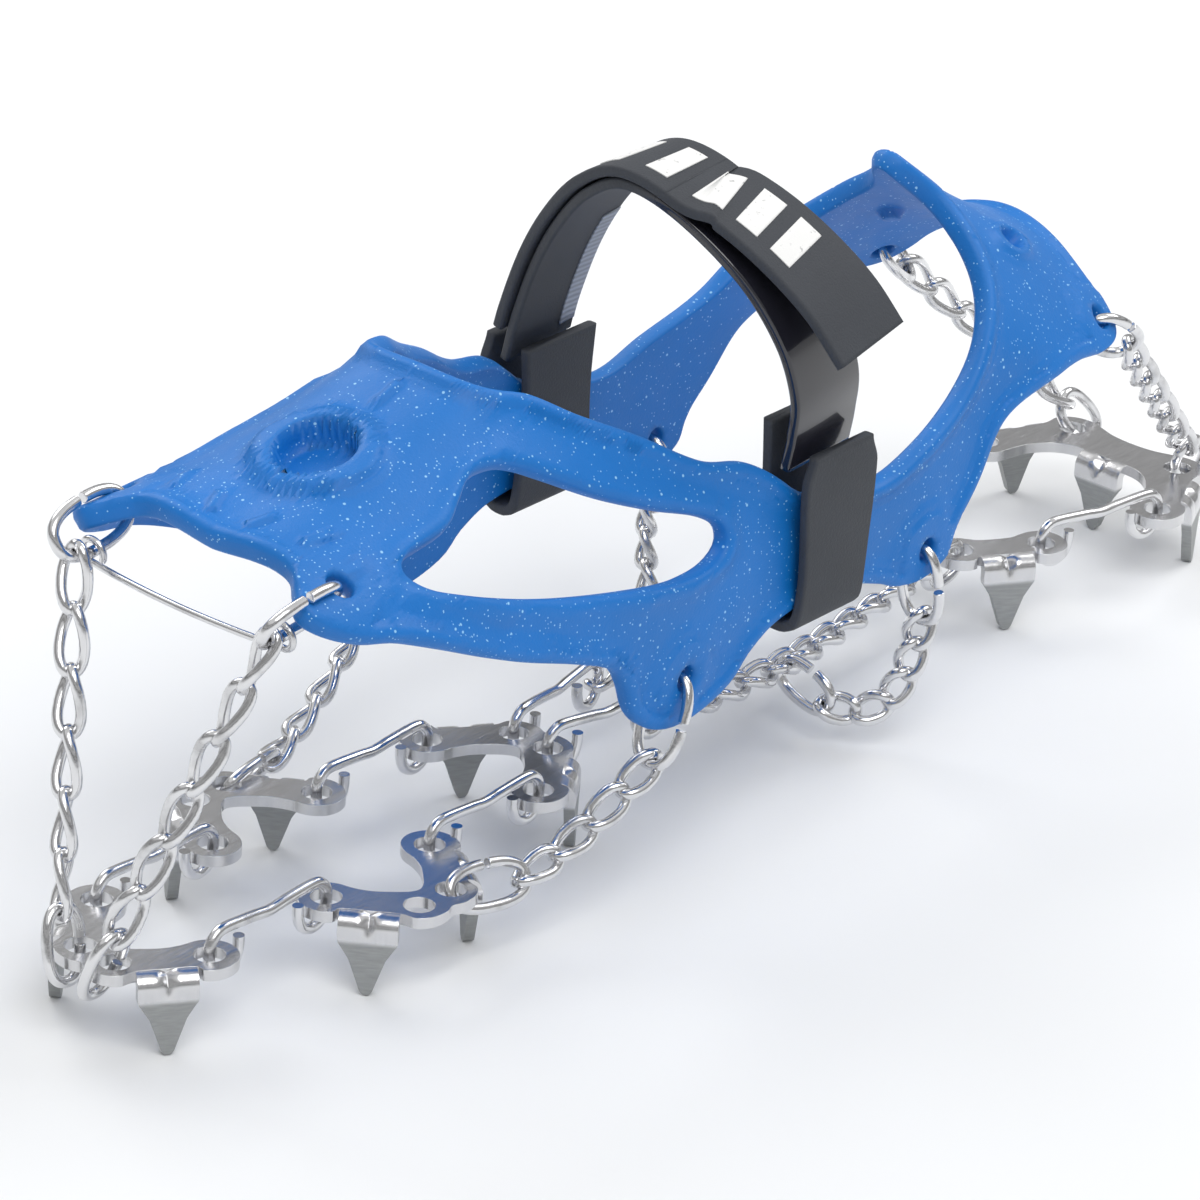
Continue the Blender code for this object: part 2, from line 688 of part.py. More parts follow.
def plate(name, outline, holes, spikes, place, surface):
    """A spiked plate as one body, which rocks about the line of its hook holes."""
    tabs = merged([spike(at, outward, place) for at, outward in spikes])
    pivot = place(0.0, 0.0, PLATE_TOP - PLATE_THICK / 2)
    return joined_by_union(name, flat_plate(outline, holes, place), tabs, surface, pivot)


def both_sides(spots):
    """Each spot and its mirror image."""
    return [(x, side * y) for x, y in spots for side in (1, -1)]


def all_plates(surface):
    """The seven plates under the sole."""
    outline = mirrored(V_PLATE_HALF)
    holes = both_sides(V_PLATE_HOLES)
    at, out = V_PLATE_SPIKE
    spikes = [((at[0], side * at[1]), (out[0], side * out[1])) for side in (1, -1)]
    places = (
        ("plate_front", turned_place(FRONT_PLATE_X, 0.0, math.pi)),
        ("plate_left", turned_place(SIDE_PLATE_X, -SIDE_PLATE_Y, -math.pi / 2)),
        ("plate_right", turned_place(SIDE_PLATE_X, SIDE_PLATE_Y, math.pi / 2)),
        ("plate_middle", turned_place(MIDDLE_PLATE_X, 0.0, 0.0)),
    )
    for name, place in places:
        plate(name, outline, holes, spikes, place, surface)
    at, out = HEEL_PLATE_SPIKE
    spikes = [((at[0], side * at[1]), (out[0], side * out[1])) for side in (1, -1)]
    spikes.append(HEEL_PLATE_FRONT_SPIKE)
    heel_place = turned_place(HEEL_PLATE_X, 0.0, 0.0)
    plate("plate_heel", mirrored(HEEL_PLATE_HALF), both_sides(HEEL_PLATE_HOLES), spikes, heel_place, surface)
    left = [(-x, y) for x, y in reversed(BAR_PLATE_HALF) if x > 0]
    bar = list(reversed([*BAR_PLATE_HALF, *left]))
    holes = ((-BAR_PLATE_HOLE, 0.0), (BAR_PLATE_HOLE, 0.0))
    for name, side in (("plate_rear_left", -1), ("plate_rear_right", 1)):
        outline = bar if side > 0 else [(x, -y) for x, y in reversed(bar)]
        place = turned_place(BAR_PLATE_AT[0], side * BAR_PLATE_AT[1], side * BAR_PLATE_TURN)
        plate(name, outline, holes, [((0.0, 0.0), (0.0, side * 1.0))], place, surface)


# Wire: hooks, rings, chain.


def hook(name, start, end, surface):
    """A wire hook between two plate holes, its body above the plates and both ends curled under."""
    start = np.array([*start, PLATE_TOP], float)
    end = np.array([*end, PLATE_TOP], float)
    along = unit(end - start)
    length = np.linalg.norm(end - start)
    curl = (
        (6.6, 0.9), (6.5, -1.2), (5.6, -3.3), (3.6, -4.4), (1.6, -4.0), (0.4, -2.6), (-0.1, -0.8),
        (0.0, 1.2), (0.9, 2.6), (3.0, 3.5),
    )
    body = ((length * 0.36, 3.1), (length * 0.5, 2.7), (length * 0.64, 3.1))
    route = [*curl, *body, *((length - u, z) for u, z in reversed(curl))]
    points = [start + along * u + np.array([0.0, 0.0, z]) for u, z in route]
    sideways = np.cross(along, (0.0, 0.0, 1.0))
    even = smooth_route(points, HOOK_POINTS)
    return add_object(name, *wire(even, HOOK_WIRE, WIRE_SIDES, sideways), surface, start - (0.0, 0.0, 1.0))


def oval_loop(centre, along, plane_normal, half_length, half_width, count, cut=0.0, twist=0.0):
    """Points on an oval, and the normals of its plane, which turns by the twist from end to end."""
    along = unit(along)
    normal = unit(plane_normal - np.dot(plane_normal, along) * along)
    side = np.cross(normal, along)
    points = []
    normals = []
    steps = count + 1 if cut else count
    for k in range(steps):
        if cut:
            share = cut / 2 + (1 - cut) * k / count
            turn = math.pi / 2 + 2 * math.pi * share
        else:
            turn = 2 * math.pi * k / count
        c, s = math.cos(turn), math.sin(turn)
        u = math.copysign(abs(c) ** 0.8, c) * half_length
        v = math.copysign(abs(s) ** 0.8, s) * half_width
        lean = twist * u / half_length / 2
        across = math.cos(lean) * side + math.sin(lean) * normal
        points.append(centre + along * u + across * v)
        normals.append(math.cos(lean) * normal - math.sin(lean) * side)
    return points, normals


def split_ring(name, start, end, plane_normal, half_width, surface):
    """An oval wire ring with a narrow cut, its wire centred on the start and end spots."""
    start, end = np.array(start, float), np.array(end, float)
    half_length = np.linalg.norm(end - start) / 2
    cut = RING_CUT / (4 * half_length + 2 * half_width)
    plane = np.asarray(plane_normal, float)
    middle = (start + end) / 2
    points, normals = oval_loop(middle, end - start, plane, half_length, half_width, RING_POINTS, cut)
    shape = swept(points, normals, round_outline(RING_WIRE, WIRE_SIDES), False)
    return add_object(name, *shape, surface, start)


def chain(name, hand, route, links, first_plane, last_plane, surface):
    """A run of twisted links along a route, whose ends face the given ways; a hand of -1 mirrors it."""
    dense = smooth_route(route, 120)
    runs = np.concatenate([[0], np.cumsum(np.linalg.norm(np.diff(dense, axis=0), axis=1))])
    overlap = 1.4 * CHAIN_WIRE
    pitch = (runs[-1] - overlap) / links
    half_length = (pitch + overlap) / 2

    def at(distance):
        return np.array([np.interp(distance, runs, dense[:, k]) for k in range(3)])

    def turn_between(first, second, axis):
        first = unit(first - np.dot(first, axis) * axis)
        second = unit(second - np.dot(second, axis) * axis)
        return math.atan2(np.dot(np.cross(first, second), axis), np.dot(first, second))

    centres = [at(half_length + pitch * k) for k in range(links)]
    headings = [unit(at(half_length + pitch * k + 1) - at(half_length + pitch * k - 1)) for k in range(links)]
    normal = np.asarray(first_plane, float)
    carried = []
    for heading in headings:
        normal = unit(normal - np.dot(normal, heading) * heading)
        carried.append(normal)
    drift = hand * turn_between(carried[-1], np.asarray(last_plane, float), headings[-1])
    drift -= math.pi / 2
    least = -math.pi / 2 - LEAST_DRIFT_MARGIN
    drift = (drift - least) % math.pi + least
    parts = ([], [])
    planes = []
    for k in range(links):
        heading = headings[k]
        lean = hand * (math.pi / 4 + drift * (k + 0.5) / links)
        across = np.cross(heading, carried[k])
        plane = math.cos(lean) * carried[k] + math.sin(lean) * across
        points, normals = oval_loop(
            centres[k], heading, plane, half_length, LINK_HALF_WIDTH, LINK_POINTS, 0.0, hand * math.pi / 2
        )
        parts[k % 2].append(swept(points, normals, round_outline(CHAIN_WIRE, LINK_SIDES), True))
        planes.append(plane)
    joined_by_union(name, merged(parts[0]), merged(parts[1]), surface, route[0])
    return centres, planes


def mirror_y(point, side):
    """The point as it is on the left, or its mirror image on the right."""
    return np.array([point[0], point[1] * (1 if side < 0 else -1), point[2]], float)


def held_hole(lobe, side):
    """The centre and outward normal of a lobe hole on one side."""
    return mirror_y(harness_spot(*lobe), side), mirror_y(harness_frame(*lobe)[2], side)


def top_ring(label, side, lobe, end, surface):
    """An oval ring through a harness lobe; gives its free tip and the direction of the wire there."""
    hole, normal = held_hole(lobe, side)
    end = mirror_y(end, side)
    plane = np.cross(unit(end - hole), normal)
    split_ring(f"ring_{label}_{SIDE_NAMES[side]}", hole, end, plane, TOP_RING_HALF_WIDTH, surface)
    return end, np.cross(plane, unit(end - hole))


def plate_ring(label, side, hole, toward, outward, lift, surface):
    """An oval ring through a plate hole and round the plate's edge, leaning towards the chain."""
    hole, toward, outward = (mirror_y(p, side) for p in (hole, toward, outward))
    lean = unit(toward - hole)
    out = unit(outward - np.dot(outward, lean) * lean)
    centre = hole + RING_HALF_WIDTH * out + lift * lean
    top = centre + PLATE_RING_HALF_LENGTH * lean
    bottom = centre - PLATE_RING_HALF_LENGTH * lean
    plane = np.cross(lean, out)
    split_ring(f"end_ring_{label}_{SIDE_NAMES[side]}", top, bottom, plane, RING_HALF_WIDTH, surface)
    return top, out


def end_to_end_ring(label, side, start, end, upright, surface):
    """An oval ring from one tip to the other, its plane holding the upright direction."""
    start, end, upright = (mirror_y(p, side) for p in (start, end, upright))
    plane = np.cross(unit(end - start), upright)
    split_ring(f"end_ring_{label}_{SIDE_NAMES[side]}", start, end, plane, RING_HALF_WIDTH, surface)
    return end, np.cross(plane, unit(end - start))


def chain_between(label, side, top, bottom, route, links, surface):
    """A chain whose end links cross the rings that hold them."""
    (start, start_wire), (end, end_wire) = top, bottom
    points = [start, *(mirror_y(p, side) for p in route), end]
    reach = RING_WIRE + CHAIN_WIRE + WIRE_GAP
    points[0] = start - unit(points[1] - start) * reach
    points[-1] = end + unit(end - points[-2]) * reach
    return chain(f"chain_{label}_{SIDE_NAMES[side]}", -side, points, links, start_wire, end_wire, surface)


def toe_ring_strand(side, share):
    """A spot on the lower strand of a toe ring, with the wire's direction and the way down from the ring."""
    hole, normal = held_hole(TOE_LOBE, side)
    end = mirror_y(TOE_RING_END, side)
    along = unit(end - hole)
    down = -unit(normal - np.dot(normal, along) * along)
    half = np.linalg.norm(end - hole) / 2
    cosine = share ** 1.25
    out = (1 - cosine ** 2) ** 0.4 * TOP_RING_HALF_WIDTH
    spot = (hole + end) / 2 + along * half * share + down * out
    return spot, along, down


def toe_chain(side, surface):
    """The chain from a toe lobe to the front plate."""
    top_ring("toe", side, TOE_LOBE, TOE_RING_END, surface)
    top = toe_ring_strand(side, TOE_CHAIN_SHARE)[:2]
    hole = (FRONT_PLATE_X - V_PLATE_HOLES[0][0], -V_PLATE_HOLES[0][1], PLATE_TOP - 1)
    bottom = plate_ring("toe", side, hole, TOE_RING_END, (-1.0, 0.0, 0.0), 1.6, surface)
    chain_between("toe", side, top, bottom, [], 6, surface)


def middle_chain(side, surface):
    """The chain from a middle lobe to a side plate."""
    top = top_ring("middle", side, MIDDLE_LOBE, MIDDLE_RING_END, surface)
    start, end = MIDDLE_END_RING
    bottom = end_to_end_ring("middle", side, start, end, (0.0, 0.5, 0.85), surface)
    chain_between("middle", side, top, bottom, MIDDLE_ROUTE, 4, surface)


def heel_chain(side, surface):
    """The chain from a heel lobe to the heel plate."""
    top = top_ring("heel", side, HEEL_LOBE, HEEL_RING_END, surface)
    hole = (HEEL_PLATE_X + HEEL_PLATE_HOLES[0][0], -HEEL_PLATE_HOLES[0][1], PLATE_TOP - 1)
    bottom = plate_ring("heel", side, hole, HEEL_RING_END, (1.0, 0.0, 0.0), 0.0, surface)
    chain_between("heel", side, top, bottom, [], 6, surface)


def long_and_rear_chains(side, surface):
    """The chain along the sole, and the slack one that joins it to a rear lobe."""
    tip = (BAR_PLATE_AT[0] - BAR_PLATE_HOLE * math.cos(BAR_PLATE_TURN),
           -BAR_PLATE_AT[1] + BAR_PLATE_HOLE * math.sin(BAR_PLATE_TURN), PLATE_TOP - 1)
    end = (tip[0] - 10.5, tip[1] - 0.4, tip[2] - 0.4)
    bottom = end_to_end_ring("sole", side, tip, end, (0.0, 0.0, 1.0), surface)
    start = mirror_y((LONG_HOOK_END[0] + 0.3, LONG_HOOK_END[1], PLATE_TOP - 1.4), side)
    upright = np.array([0.0, 0.0, 1.0])
    centres, planes = chain_between("sole", side, (start, upright), bottom, SOLE_ROUTE, 11, surface)
    centre, plane = centres[JOINED_LINK], planes[JOINED_LINK]
    end = mirror_y(REAR_END_RING_END, side)
    ring_plane = np.cross(unit(end - centre), plane)
    split_ring(f"end_ring_rear_{SIDE_NAMES[side]}", centre, end, ring_plane, REAR_RING_HALF_WIDTH, surface)
    tip_wire = np.cross(ring_plane, unit(end - centre))
    top = top_ring("rear", side, REAR_LOBE, REAR_RING_END, surface)
    chain_between("rear", side, top, (end, tip_wire), REAR_ROUTE, 5, surface)


def all_hooks(surface):
    """The hooks that join the plates to each other and to the long chains."""
    arm = V_PLATE_HOLES[1][1]
    for side in (-1, 1):
        name = SIDE_NAMES[side]
        y = side * arm
        y_side = side * SIDE_PLATE_Y
        hook(f"hook_front_{name}", (FRONT_PLATE_X, y), (SIDE_PLATE_X - arm, y_side), surface)
        hook(f"hook_side_{name}", (SIDE_PLATE_X + arm, y_side), (MIDDLE_PLATE_X, y), surface)
        vertex = (MIDDLE_PLATE_X + V_PLATE_HOLES[0][0], side * V_PLATE_HOLES[0][1])
        hook(f"hook_middle_{name}", vertex, (LONG_HOOK_END[0], -side * LONG_HOOK_END[1]), surface)
        rear = (BAR_PLATE_AT[0] + BAR_PLATE_HOLE * math.cos(BAR_PLATE_TURN),
                side * (BAR_PLATE_AT[1] + BAR_PLATE_HOLE * math.sin(BAR_PLATE_TURN)))
        heel = (HEEL_PLATE_X, side * HEEL_PLATE_HOLES[1][1])
        hook(f"hook_heel_{name}", rear, heel, surface)


def front_bar(surface):
    """The wire across the toe, with an eye round the lower run of each toe ring."""
    centre, along, _ = toe_ring_strand(-1, FRONT_BAR_SHARE)
    across = unit(np.array([0.0, 1.0, 0.0]) - along[1] * along)
    up = np.cross(across, along)
    if up[2] < 0:
        up = -up
    eye = []
    for step in range(12):
        turn = -math.pi / 2 - math.radians(300) * (1 - step / 11)
        eye.append(centre + FRONT_BAR_EYE * (math.cos(turn) * across + math.sin(turn) * up))
    other = [p * (1, -1, 1) for p in reversed(eye)]
    middle = []
    for share in (0.6, 0.2, -0.2, -0.6):
        bow = FRONT_BAR_BOW * (1 - share * share)
        middle.append(eye[-1] * (1, share, 1) - np.array([bow, 0, 0]))
    points, faces = wire(np.array(eye + middle + other), FRONT_BAR_WIRE, WIRE_SIDES, along)
    return add_object("front_bar", points, faces, surface, centre)


# Strap.


def band(name, route, width, count, surface, pivot):
    """A flat band of rubber along a route, its width lying along X."""
    points = smooth_route(route, count)
    half = width / 2
    thick = STRAP_THICK / 2
    outline = ((thick, -half), (thick, half), (-thick, half), (-thick, -half))
    binormals = [np.array([1.0, 0.0, 0.0])] * len(points)
    return add_object(name, *swept(points, binormals, outline, False), surface, pivot)


def loop_round_arm(name, side, outer_top, inner_top, surface):
    """A band folded under one arm of the harness, open at the top where the strap goes in."""
    out, inn, low = KEEPER_OUTER_Y, KEEPER_INNER_Y, KEEPER_BOTTOM
    route = (
        (out, outer_top), (out, outer_top - 9.0), (out, 54.0), (out - 0.2, 46.0), (out - 0.9, low + 2.0),
        (out - 2.8, low + 0.3), ((out + inn) / 2, low), (inn + 2.8, low + 0.3), (inn + 0.9, low + 2.0),
        (inn + 0.2, 46.0), (inn, 54.0), (inn, 62.0), (inn, inner_top),
    )
    points = [(KEEPER_X, side * y, z) for y, z in route]
    return band(name, points, KEEPER_WIDTH, 26, surface, points[-1])


def strap(surface):
    """The strap: a loop round each arm, the arch between them, and the run that lies over it."""
    loop_round_arm("strap_keeper", -1, KEEPER_OUTER_TOP, KEEPER_INNER_TOP, surface)
    loop_round_arm("strap_far_loop", 1, FAR_LOOP_TOP, FAR_LOOP_TOP, surface)
    anchor = ARCH_ROUTE[0]
    band("strap_arch", ARCH_ROUTE, ARCH_WIDTH, 34, surface, anchor)
    points = smooth_route(ARCH_ROUTE, 61)
    tangents = tangents_of(points, False)
    lift = STRAP_THICK + STRAP_GAP
    raised = []
    for point, tangent in zip(points, tangents):
        normal = unit(np.cross((1.0, 0.0, 0.0), tangent))
        raised.append(point + normal * lift)
    first = int(COVER_FROM * 60)
    last = int(COVER_TO * 60)
    band("strap_cover", raised[first:last + 1], COVER_WIDTH, 22, surface, anchor)
    start = np.array(raised[first])
    run = unit(start - raised[first + 1])
    lead = [start + run * TAIL_GAP, start + run * TAIL_LEAD]
    top = lead[0] + unit(np.cross(run, (1.0, 0.0, 0.0))) * STRAP_THICK / 2
    band("strap_tail", [*lead, *TAIL_ROUTE], COVER_WIDTH, 12, surface, top)


def main():
    """Builds the whole cleat."""
    clear_scene()
    harness(BLUE_ELASTOMER)
    strap(BLACK_RUBBER)
    all_plates(BRIGHT_STEEL)
    all_hooks(BRIGHT_STEEL)
    front_bar(BRIGHT_STEEL)
    for side in (-1, 1):
        toe_chain(side, BRIGHT_STEEL)
        middle_chain(side, BRIGHT_STEEL)
        heel_chain(side, BRIGHT_STEEL)
        long_and_rear_chains(side, BRIGHT_STEEL)


main()
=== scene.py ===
import json
import math

import bpy
import numpy as np
from mathutils import Matrix, kdtree
from mathutils.geometry import delaunay_2d_cdt

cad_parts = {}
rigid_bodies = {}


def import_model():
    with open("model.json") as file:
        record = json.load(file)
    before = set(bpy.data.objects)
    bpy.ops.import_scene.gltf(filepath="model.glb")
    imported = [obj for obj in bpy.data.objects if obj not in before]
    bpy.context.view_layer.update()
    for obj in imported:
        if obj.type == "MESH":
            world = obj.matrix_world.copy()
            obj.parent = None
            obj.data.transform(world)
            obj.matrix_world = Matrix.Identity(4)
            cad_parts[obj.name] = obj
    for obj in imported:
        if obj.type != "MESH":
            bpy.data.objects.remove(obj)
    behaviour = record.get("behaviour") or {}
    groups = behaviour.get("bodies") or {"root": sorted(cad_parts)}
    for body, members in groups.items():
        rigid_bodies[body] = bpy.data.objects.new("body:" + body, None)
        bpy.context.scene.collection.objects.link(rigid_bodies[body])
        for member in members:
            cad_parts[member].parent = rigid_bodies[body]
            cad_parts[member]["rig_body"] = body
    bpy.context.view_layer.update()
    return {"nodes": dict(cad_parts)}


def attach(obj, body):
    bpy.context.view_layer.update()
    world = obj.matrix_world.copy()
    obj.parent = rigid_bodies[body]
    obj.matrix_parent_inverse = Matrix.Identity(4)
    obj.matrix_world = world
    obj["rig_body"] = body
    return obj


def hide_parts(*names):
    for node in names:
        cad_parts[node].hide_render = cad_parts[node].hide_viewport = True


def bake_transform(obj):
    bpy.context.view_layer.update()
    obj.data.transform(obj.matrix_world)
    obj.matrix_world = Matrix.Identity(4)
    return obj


for item in list(bpy.data.objects):
    bpy.data.objects.remove(item, do_unlink=True)
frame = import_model()

bl_info = {
    "name": "Slip-on Ice Cleat",
    "version": (1, 0, 0),
    "blender": (4, 5, 0),
    "location": "View3D > Sidebar > Cleat",
    "description": "Builds the finished look of a slip-on ice cleat on its packed frame",
    "category": "Add Mesh",
}

# Lengths are in millimetres unless a property says otherwise; the scene is in metres.
# +X runs from the toe to the heel, +Z is up, the left side is -Y, and the spikes stand on Z = 0.
MM = 0.001

# The maker's zero of the lengths below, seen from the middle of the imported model's base.
MAKER_ZERO = np.array([-12.5, 3.5, 0.0])

# Harness: stations from the middle of the toe to the middle of the heel.
# Each holds (x, half width, height) of the lower edge, the middle and the upper edge.
HARNESS_STATIONS = (
    ((-101, 0, 78), (-77, 0, 84), (-53, 0, 92)),
    ((-101, 12, 78.5), (-76, 11, 83.5), (-52, 10, 91.5)),
    ((-99, 24, 74.5), (-70, 20.5, 79.5), (-45, 14, 89.5)),
    ((-86, 30.5, 66), (-62, 25, 75.5), (-36, 18, 84)),
    ((-66, 32, 57), (-46, 28, 67), (-26, 22, 79)),
    ((-42, 32, 48), (-26, 31, 60), (-14, 26, 72)),
    ((-20, 32, 43), (-10, 31, 56), (-1, 29, 66)),
    ((10, 31, 40), (9, 31, 50), (10, 30, 60)),
    ((32, 30, 38), (30, 30, 47), (28, 30, 56)),
    ((53, 30, 43.5), (46, 30, 51.5), (41, 30, 59)),
    ((65, 29, 56), (60, 28, 60), (54, 28, 64)),
    ((83, 28, 60), (75, 27, 65.5), (63, 25, 71)),
    ((98, 24, 62), (86, 21, 70), (70, 18.5, 78)),
    ((103, 12, 70), (89, 11, 77), (71, 9.5, 86)),
    ((104, 0, 73.5), (88, 0, 80), (69.5, 0, 92)),
)
STATION_SCALE = 20.0
ACROSS_SCALE = 30.0

# Edges on the harness surface: (station, share of the way from the lower edge to the upper one).
LOWER_EDGE = (
    (0.0, 0.0), (0.7, 0.01), (1.3, 0.01), (1.6, -0.04), (1.85, -0.09), (2.2, -0.1),
    (2.5, -0.07), (2.8, -0.01), (3.3, 0.01), (4.0, 0.0), (4.6, 0.01), (5.05, -0.02),
    (5.4, -0.13), (5.7, -0.28), (5.95, -0.36), (6.2, -0.36), (6.4, -0.28), (6.5, -0.13),
    (6.7, 0.01), (7.1, 0.1), (7.6, 0.08), (7.95, -0.05), (8.15, -0.2), (8.4, -0.28),
    (8.65, -0.23), (8.85, -0.08), (9.1, 0.0), (9.6, 0.0), (10.2, 0.01), (10.8, 0.0),
    (11.25, -0.06), (11.6, -0.15), (12.0, -0.18), (12.35, -0.13), (12.7, -0.03), (13.2, 0.0),
    (14.0, 0.0),
)
UPPER_EDGE = (
    (14.0, 1.1), (13.7, 1.08), (13.35, 0.98), (12.7, 0.98), (12.0, 1.0), (11.0, 1.0),
    (10.0, 1.0), (9.0, 1.0), (8.0, 1.0), (7.0, 1.0), (6.2, 1.04), (5.6, 1.06), (5.0, 1.0),
    (4.0, 1.0), (3.0, 1.0), (2.2, 1.0), (1.4, 1.0), (0.7, 1.0), (0.0, 1.0),
)
WINDOW = (
    (1.9, 0.66), (2.15, 0.73), (2.6, 0.75), (3.2, 0.75), (3.9, 0.75), (4.6, 0.75), (5.15, 0.75),
    (5.55, 0.69), (5.75, 0.57), (5.65, 0.46), (5.3, 0.4), (4.6, 0.34), (3.9, 0.28), (3.2, 0.22),
    (2.6, 0.19), (2.2, 0.21), (2.02, 0.28), (2.08, 0.36), (2.16, 0.45), (2.02, 0.55),
)
TOE_LOBE = (1.86, 0.05)
MIDDLE_LOBE = (5.97, -0.13)
REAR_LOBE = (8.5, -0.03)
HEEL_LOBE = (12.05, 0.0)
LOBE_HOLE_RADIUS = 2.5
LOBE_DISC_RADIUS = 6.6
LOBE_DISC_HEIGHT = 0.8
TOE_BOSS = (0.0, 0.5)
TOE_BOSS_INNER = 7.0
TOE_BOSS_OUTER = 10.6
TOE_BOSS_HEIGHT = 1.6
HEEL_BOSS = (12.8, 0.6)
HEEL_BOSS_INNER = 3.2
HEEL_BOSS_OUTER = 5.2
HEEL_BOSS_HEIGHT = 0.9

# Spiked plates: every plate lies level with its top at this height.
PLATE_TOP = 14.0
PLATE_HOLE_RADIUS = 2.6
SPIKE_WIDTH = 9.8
SPIKE_TIP_WIDTH = 1.4
SPIKE_THICK = 1.9
SPIKE_BEND = 1.6
SPIKE_OUT = 3.3

# Half outlines, as (out from the line of the hook holes, to the side).
V_PLATE_HALF = (
    (16.2, 0.0), (16.9, 2.4), (16.5, 5.2), (14.9, 7.3), (12.2, 8.0), (8.1, 10.8), (4.2, 13.6),
    (4.2, 15.2), (2.9, 16.5), (0.6, 17.2), (-1.9, 16.8), (-4.0, 15.1), (-4.8, 12.4),
    (-4.0, 9.8), (-1.8, 8.0), (1.2, 7.2), (4.0, 5.8), (6.5, 3.6), (8.2, 1.7), (8.9, 0.0),
)
V_PLATE_HOLES = ((12.3, 3.8), (0.0, 12.4))
V_PLATE_SPIKE = ((6.3, 8.2), (0.573, 0.82))
HEEL_PLATE_HALF = (
    (19.4, 0.0), (19.8, 4.5), (21.0, 8.2), (21.9, 11.6), (21.1, 14.8), (18.6, 17.0),
    (14.4, 17.3), (5.4, 21.3), (4.4, 23.0), (2.0, 24.5), (-1.2, 24.7), (-3.8, 23.2),
    (-4.9, 20.4), (-4.3, 17.4), (-2.2, 15.3), (1.0, 14.5), (4.6, 13.6), (8.0, 11.4),
    (10.2, 8.4), (10.9, 5.2), (10.9, 0.0),
)
HEEL_PLATE_HOLES = ((17.1, 12.1), (0.0, 19.9))
HEEL_PLATE_SPIKE = ((8.6, 16.0), (0.415, 0.91))
HEEL_PLATE_FRONT_SPIKE = ((14.2, 0.0), (-1.0, 0.0))
BAR_PLATE_HALF = (
    (0.0, 3.3), (4.9, 3.3), (6.0, 4.4), (8.2, 4.8), (10.6, 3.9), (12.3, 1.8), (12.6, -0.6),
    (11.6, -3.1), (9.6, -4.6), (7.2, -4.7), (5.0, -3.9), (3.2, -3.1), (0.0, -2.9),
)
BAR_PLATE_HOLE = 7.8

FRONT_PLATE_X = -112.1
SIDE_PLATE_X = -72.9
SIDE_PLATE_Y = 12.5
MIDDLE_PLATE_X = -33.4
HEEL_PLATE_X = 131.2
BAR_PLATE_AT = (97.2, 9.5)
BAR_PLATE_TURN = math.radians(33.0)

# Wire and chain.
LINK_HALF_WIDTH = 2.1
WIRE_GAP = 0.5
RING_HALF_WIDTH = 3.5
TOP_RING_HALF_WIDTH = 4.1
PLATE_RING_HALF_LENGTH = 6.0
LEAST_DRIFT_MARGIN = 0.1
FRONT_BAR_WIRE = 0.6
FRONT_BAR_EYE = 2.2
FRONT_BAR_BOW = 1.5
FRONT_BAR_SHARE = 0.25
TOE_CHAIN_SHARE = 0.7
SIDE_NAMES = {-1: "left", 1: "right"}

# Where the rings and chains of the left side end or pass.
TOE_RING_END = (-112.6, -22.1, 73.5)
MIDDLE_RING_END = (-29.5, -32.5, 25.0)
MIDDLE_END_RING = ((-69.1, -24.8, 13.0), (-54.5, -28.2, 12.0))
MIDDLE_ROUTE = ((-44.0, -30.0, 16.2),)
REAR_RING_END = (45.0, -31.0, 25.0)
REAR_END_RING_END = (36.6, -18.8, 6.8)
REAR_ROUTE = ((43.5, -28.8, 13.0), (40.2, -24.4, 7.0))
HEEL_RING_END = (109.4, -24.9, 54.4)
LONG_HOOK_END = (5.0, -7.5)
SOLE_ROUTE = ((20.0, -8.6, 12.0), (34.0, -8.8, 11.5), (48.0, -7.2, 11.0), (64.0, -5.8, 11.5))
JOINED_LINK = 4
REAR_RING_HALF_WIDTH = 3.3

# Strap.
STRAP_GAP = 0.35
ARCH_WIDTH = 16.0
ARCH_ROUTE = (
    (11.0, -30.9, 67.5), (10.5, -32.2, 74.0), (9.0, -33.3, 82.0), (6.0, -31.5, 92.0),
    (2.5, -25.5, 102.0), (-0.5, -14.5, 110.2), (-1.3, -4.0, 112.8), (0.0, 4.4, 108.8),
    (3.5, 13.2, 100.1), (7.0, 21.0, 89.2), (10.0, 27.4, 76.5), (11.5, 30.6, 67.5),
)
COVER_WIDTH = 18.0
COVER_FROM = 0.45
COVER_TO = 0.95
TAIL_ROUTE = (
    (0.9, -18.5, 111.9), (3.0, -24.5, 108.6), (5.2, -31.0, 103.8), (7.2, -37.0, 98.2),
    (8.6, -42.5, 91.5),
)
TAIL_LEAD = 3.4
KEEPER_WIDTH = 18.0
KEEPER_X = 12.5
KEEPER_OUTER_Y = 35.3
KEEPER_INNER_Y = 26.3
KEEPER_BOTTOM = 38.2
KEEPER_OUTER_TOP = 70.0
KEEPER_INNER_TOP = 74.5
FAR_LOOP_TOP = 69.5

# Wire radii that the rings and chains were laid out with.
RING_RADIUS = 0.8
CHAIN_RADIUS = 0.65

# The rib pressed into a spike's fold.
RIB_HALF_WIDTH = 0.85
RIB_HALF_LENGTH = 1.7
RIB_DEPTH = 1.1

# How finely the pieces are drawn.
EDGE_STEP = 1.2
GRID_STEP = 1.5
LEAST_GAP = 0.55
HOLE_SIDES = 40
WIRE_SIDES = 16
RING_POINTS = 60
LINK_POINTS = 36
HOOK_POINTS = 110
STRAP_SAMPLES = 240
RING_CUT = 0.5
TAIL_OVERLAP = 0.3

# Angles in degrees past which a shaded edge stays sharp.
PLATE_SHARP = 35
WIRE_SHARP = 50

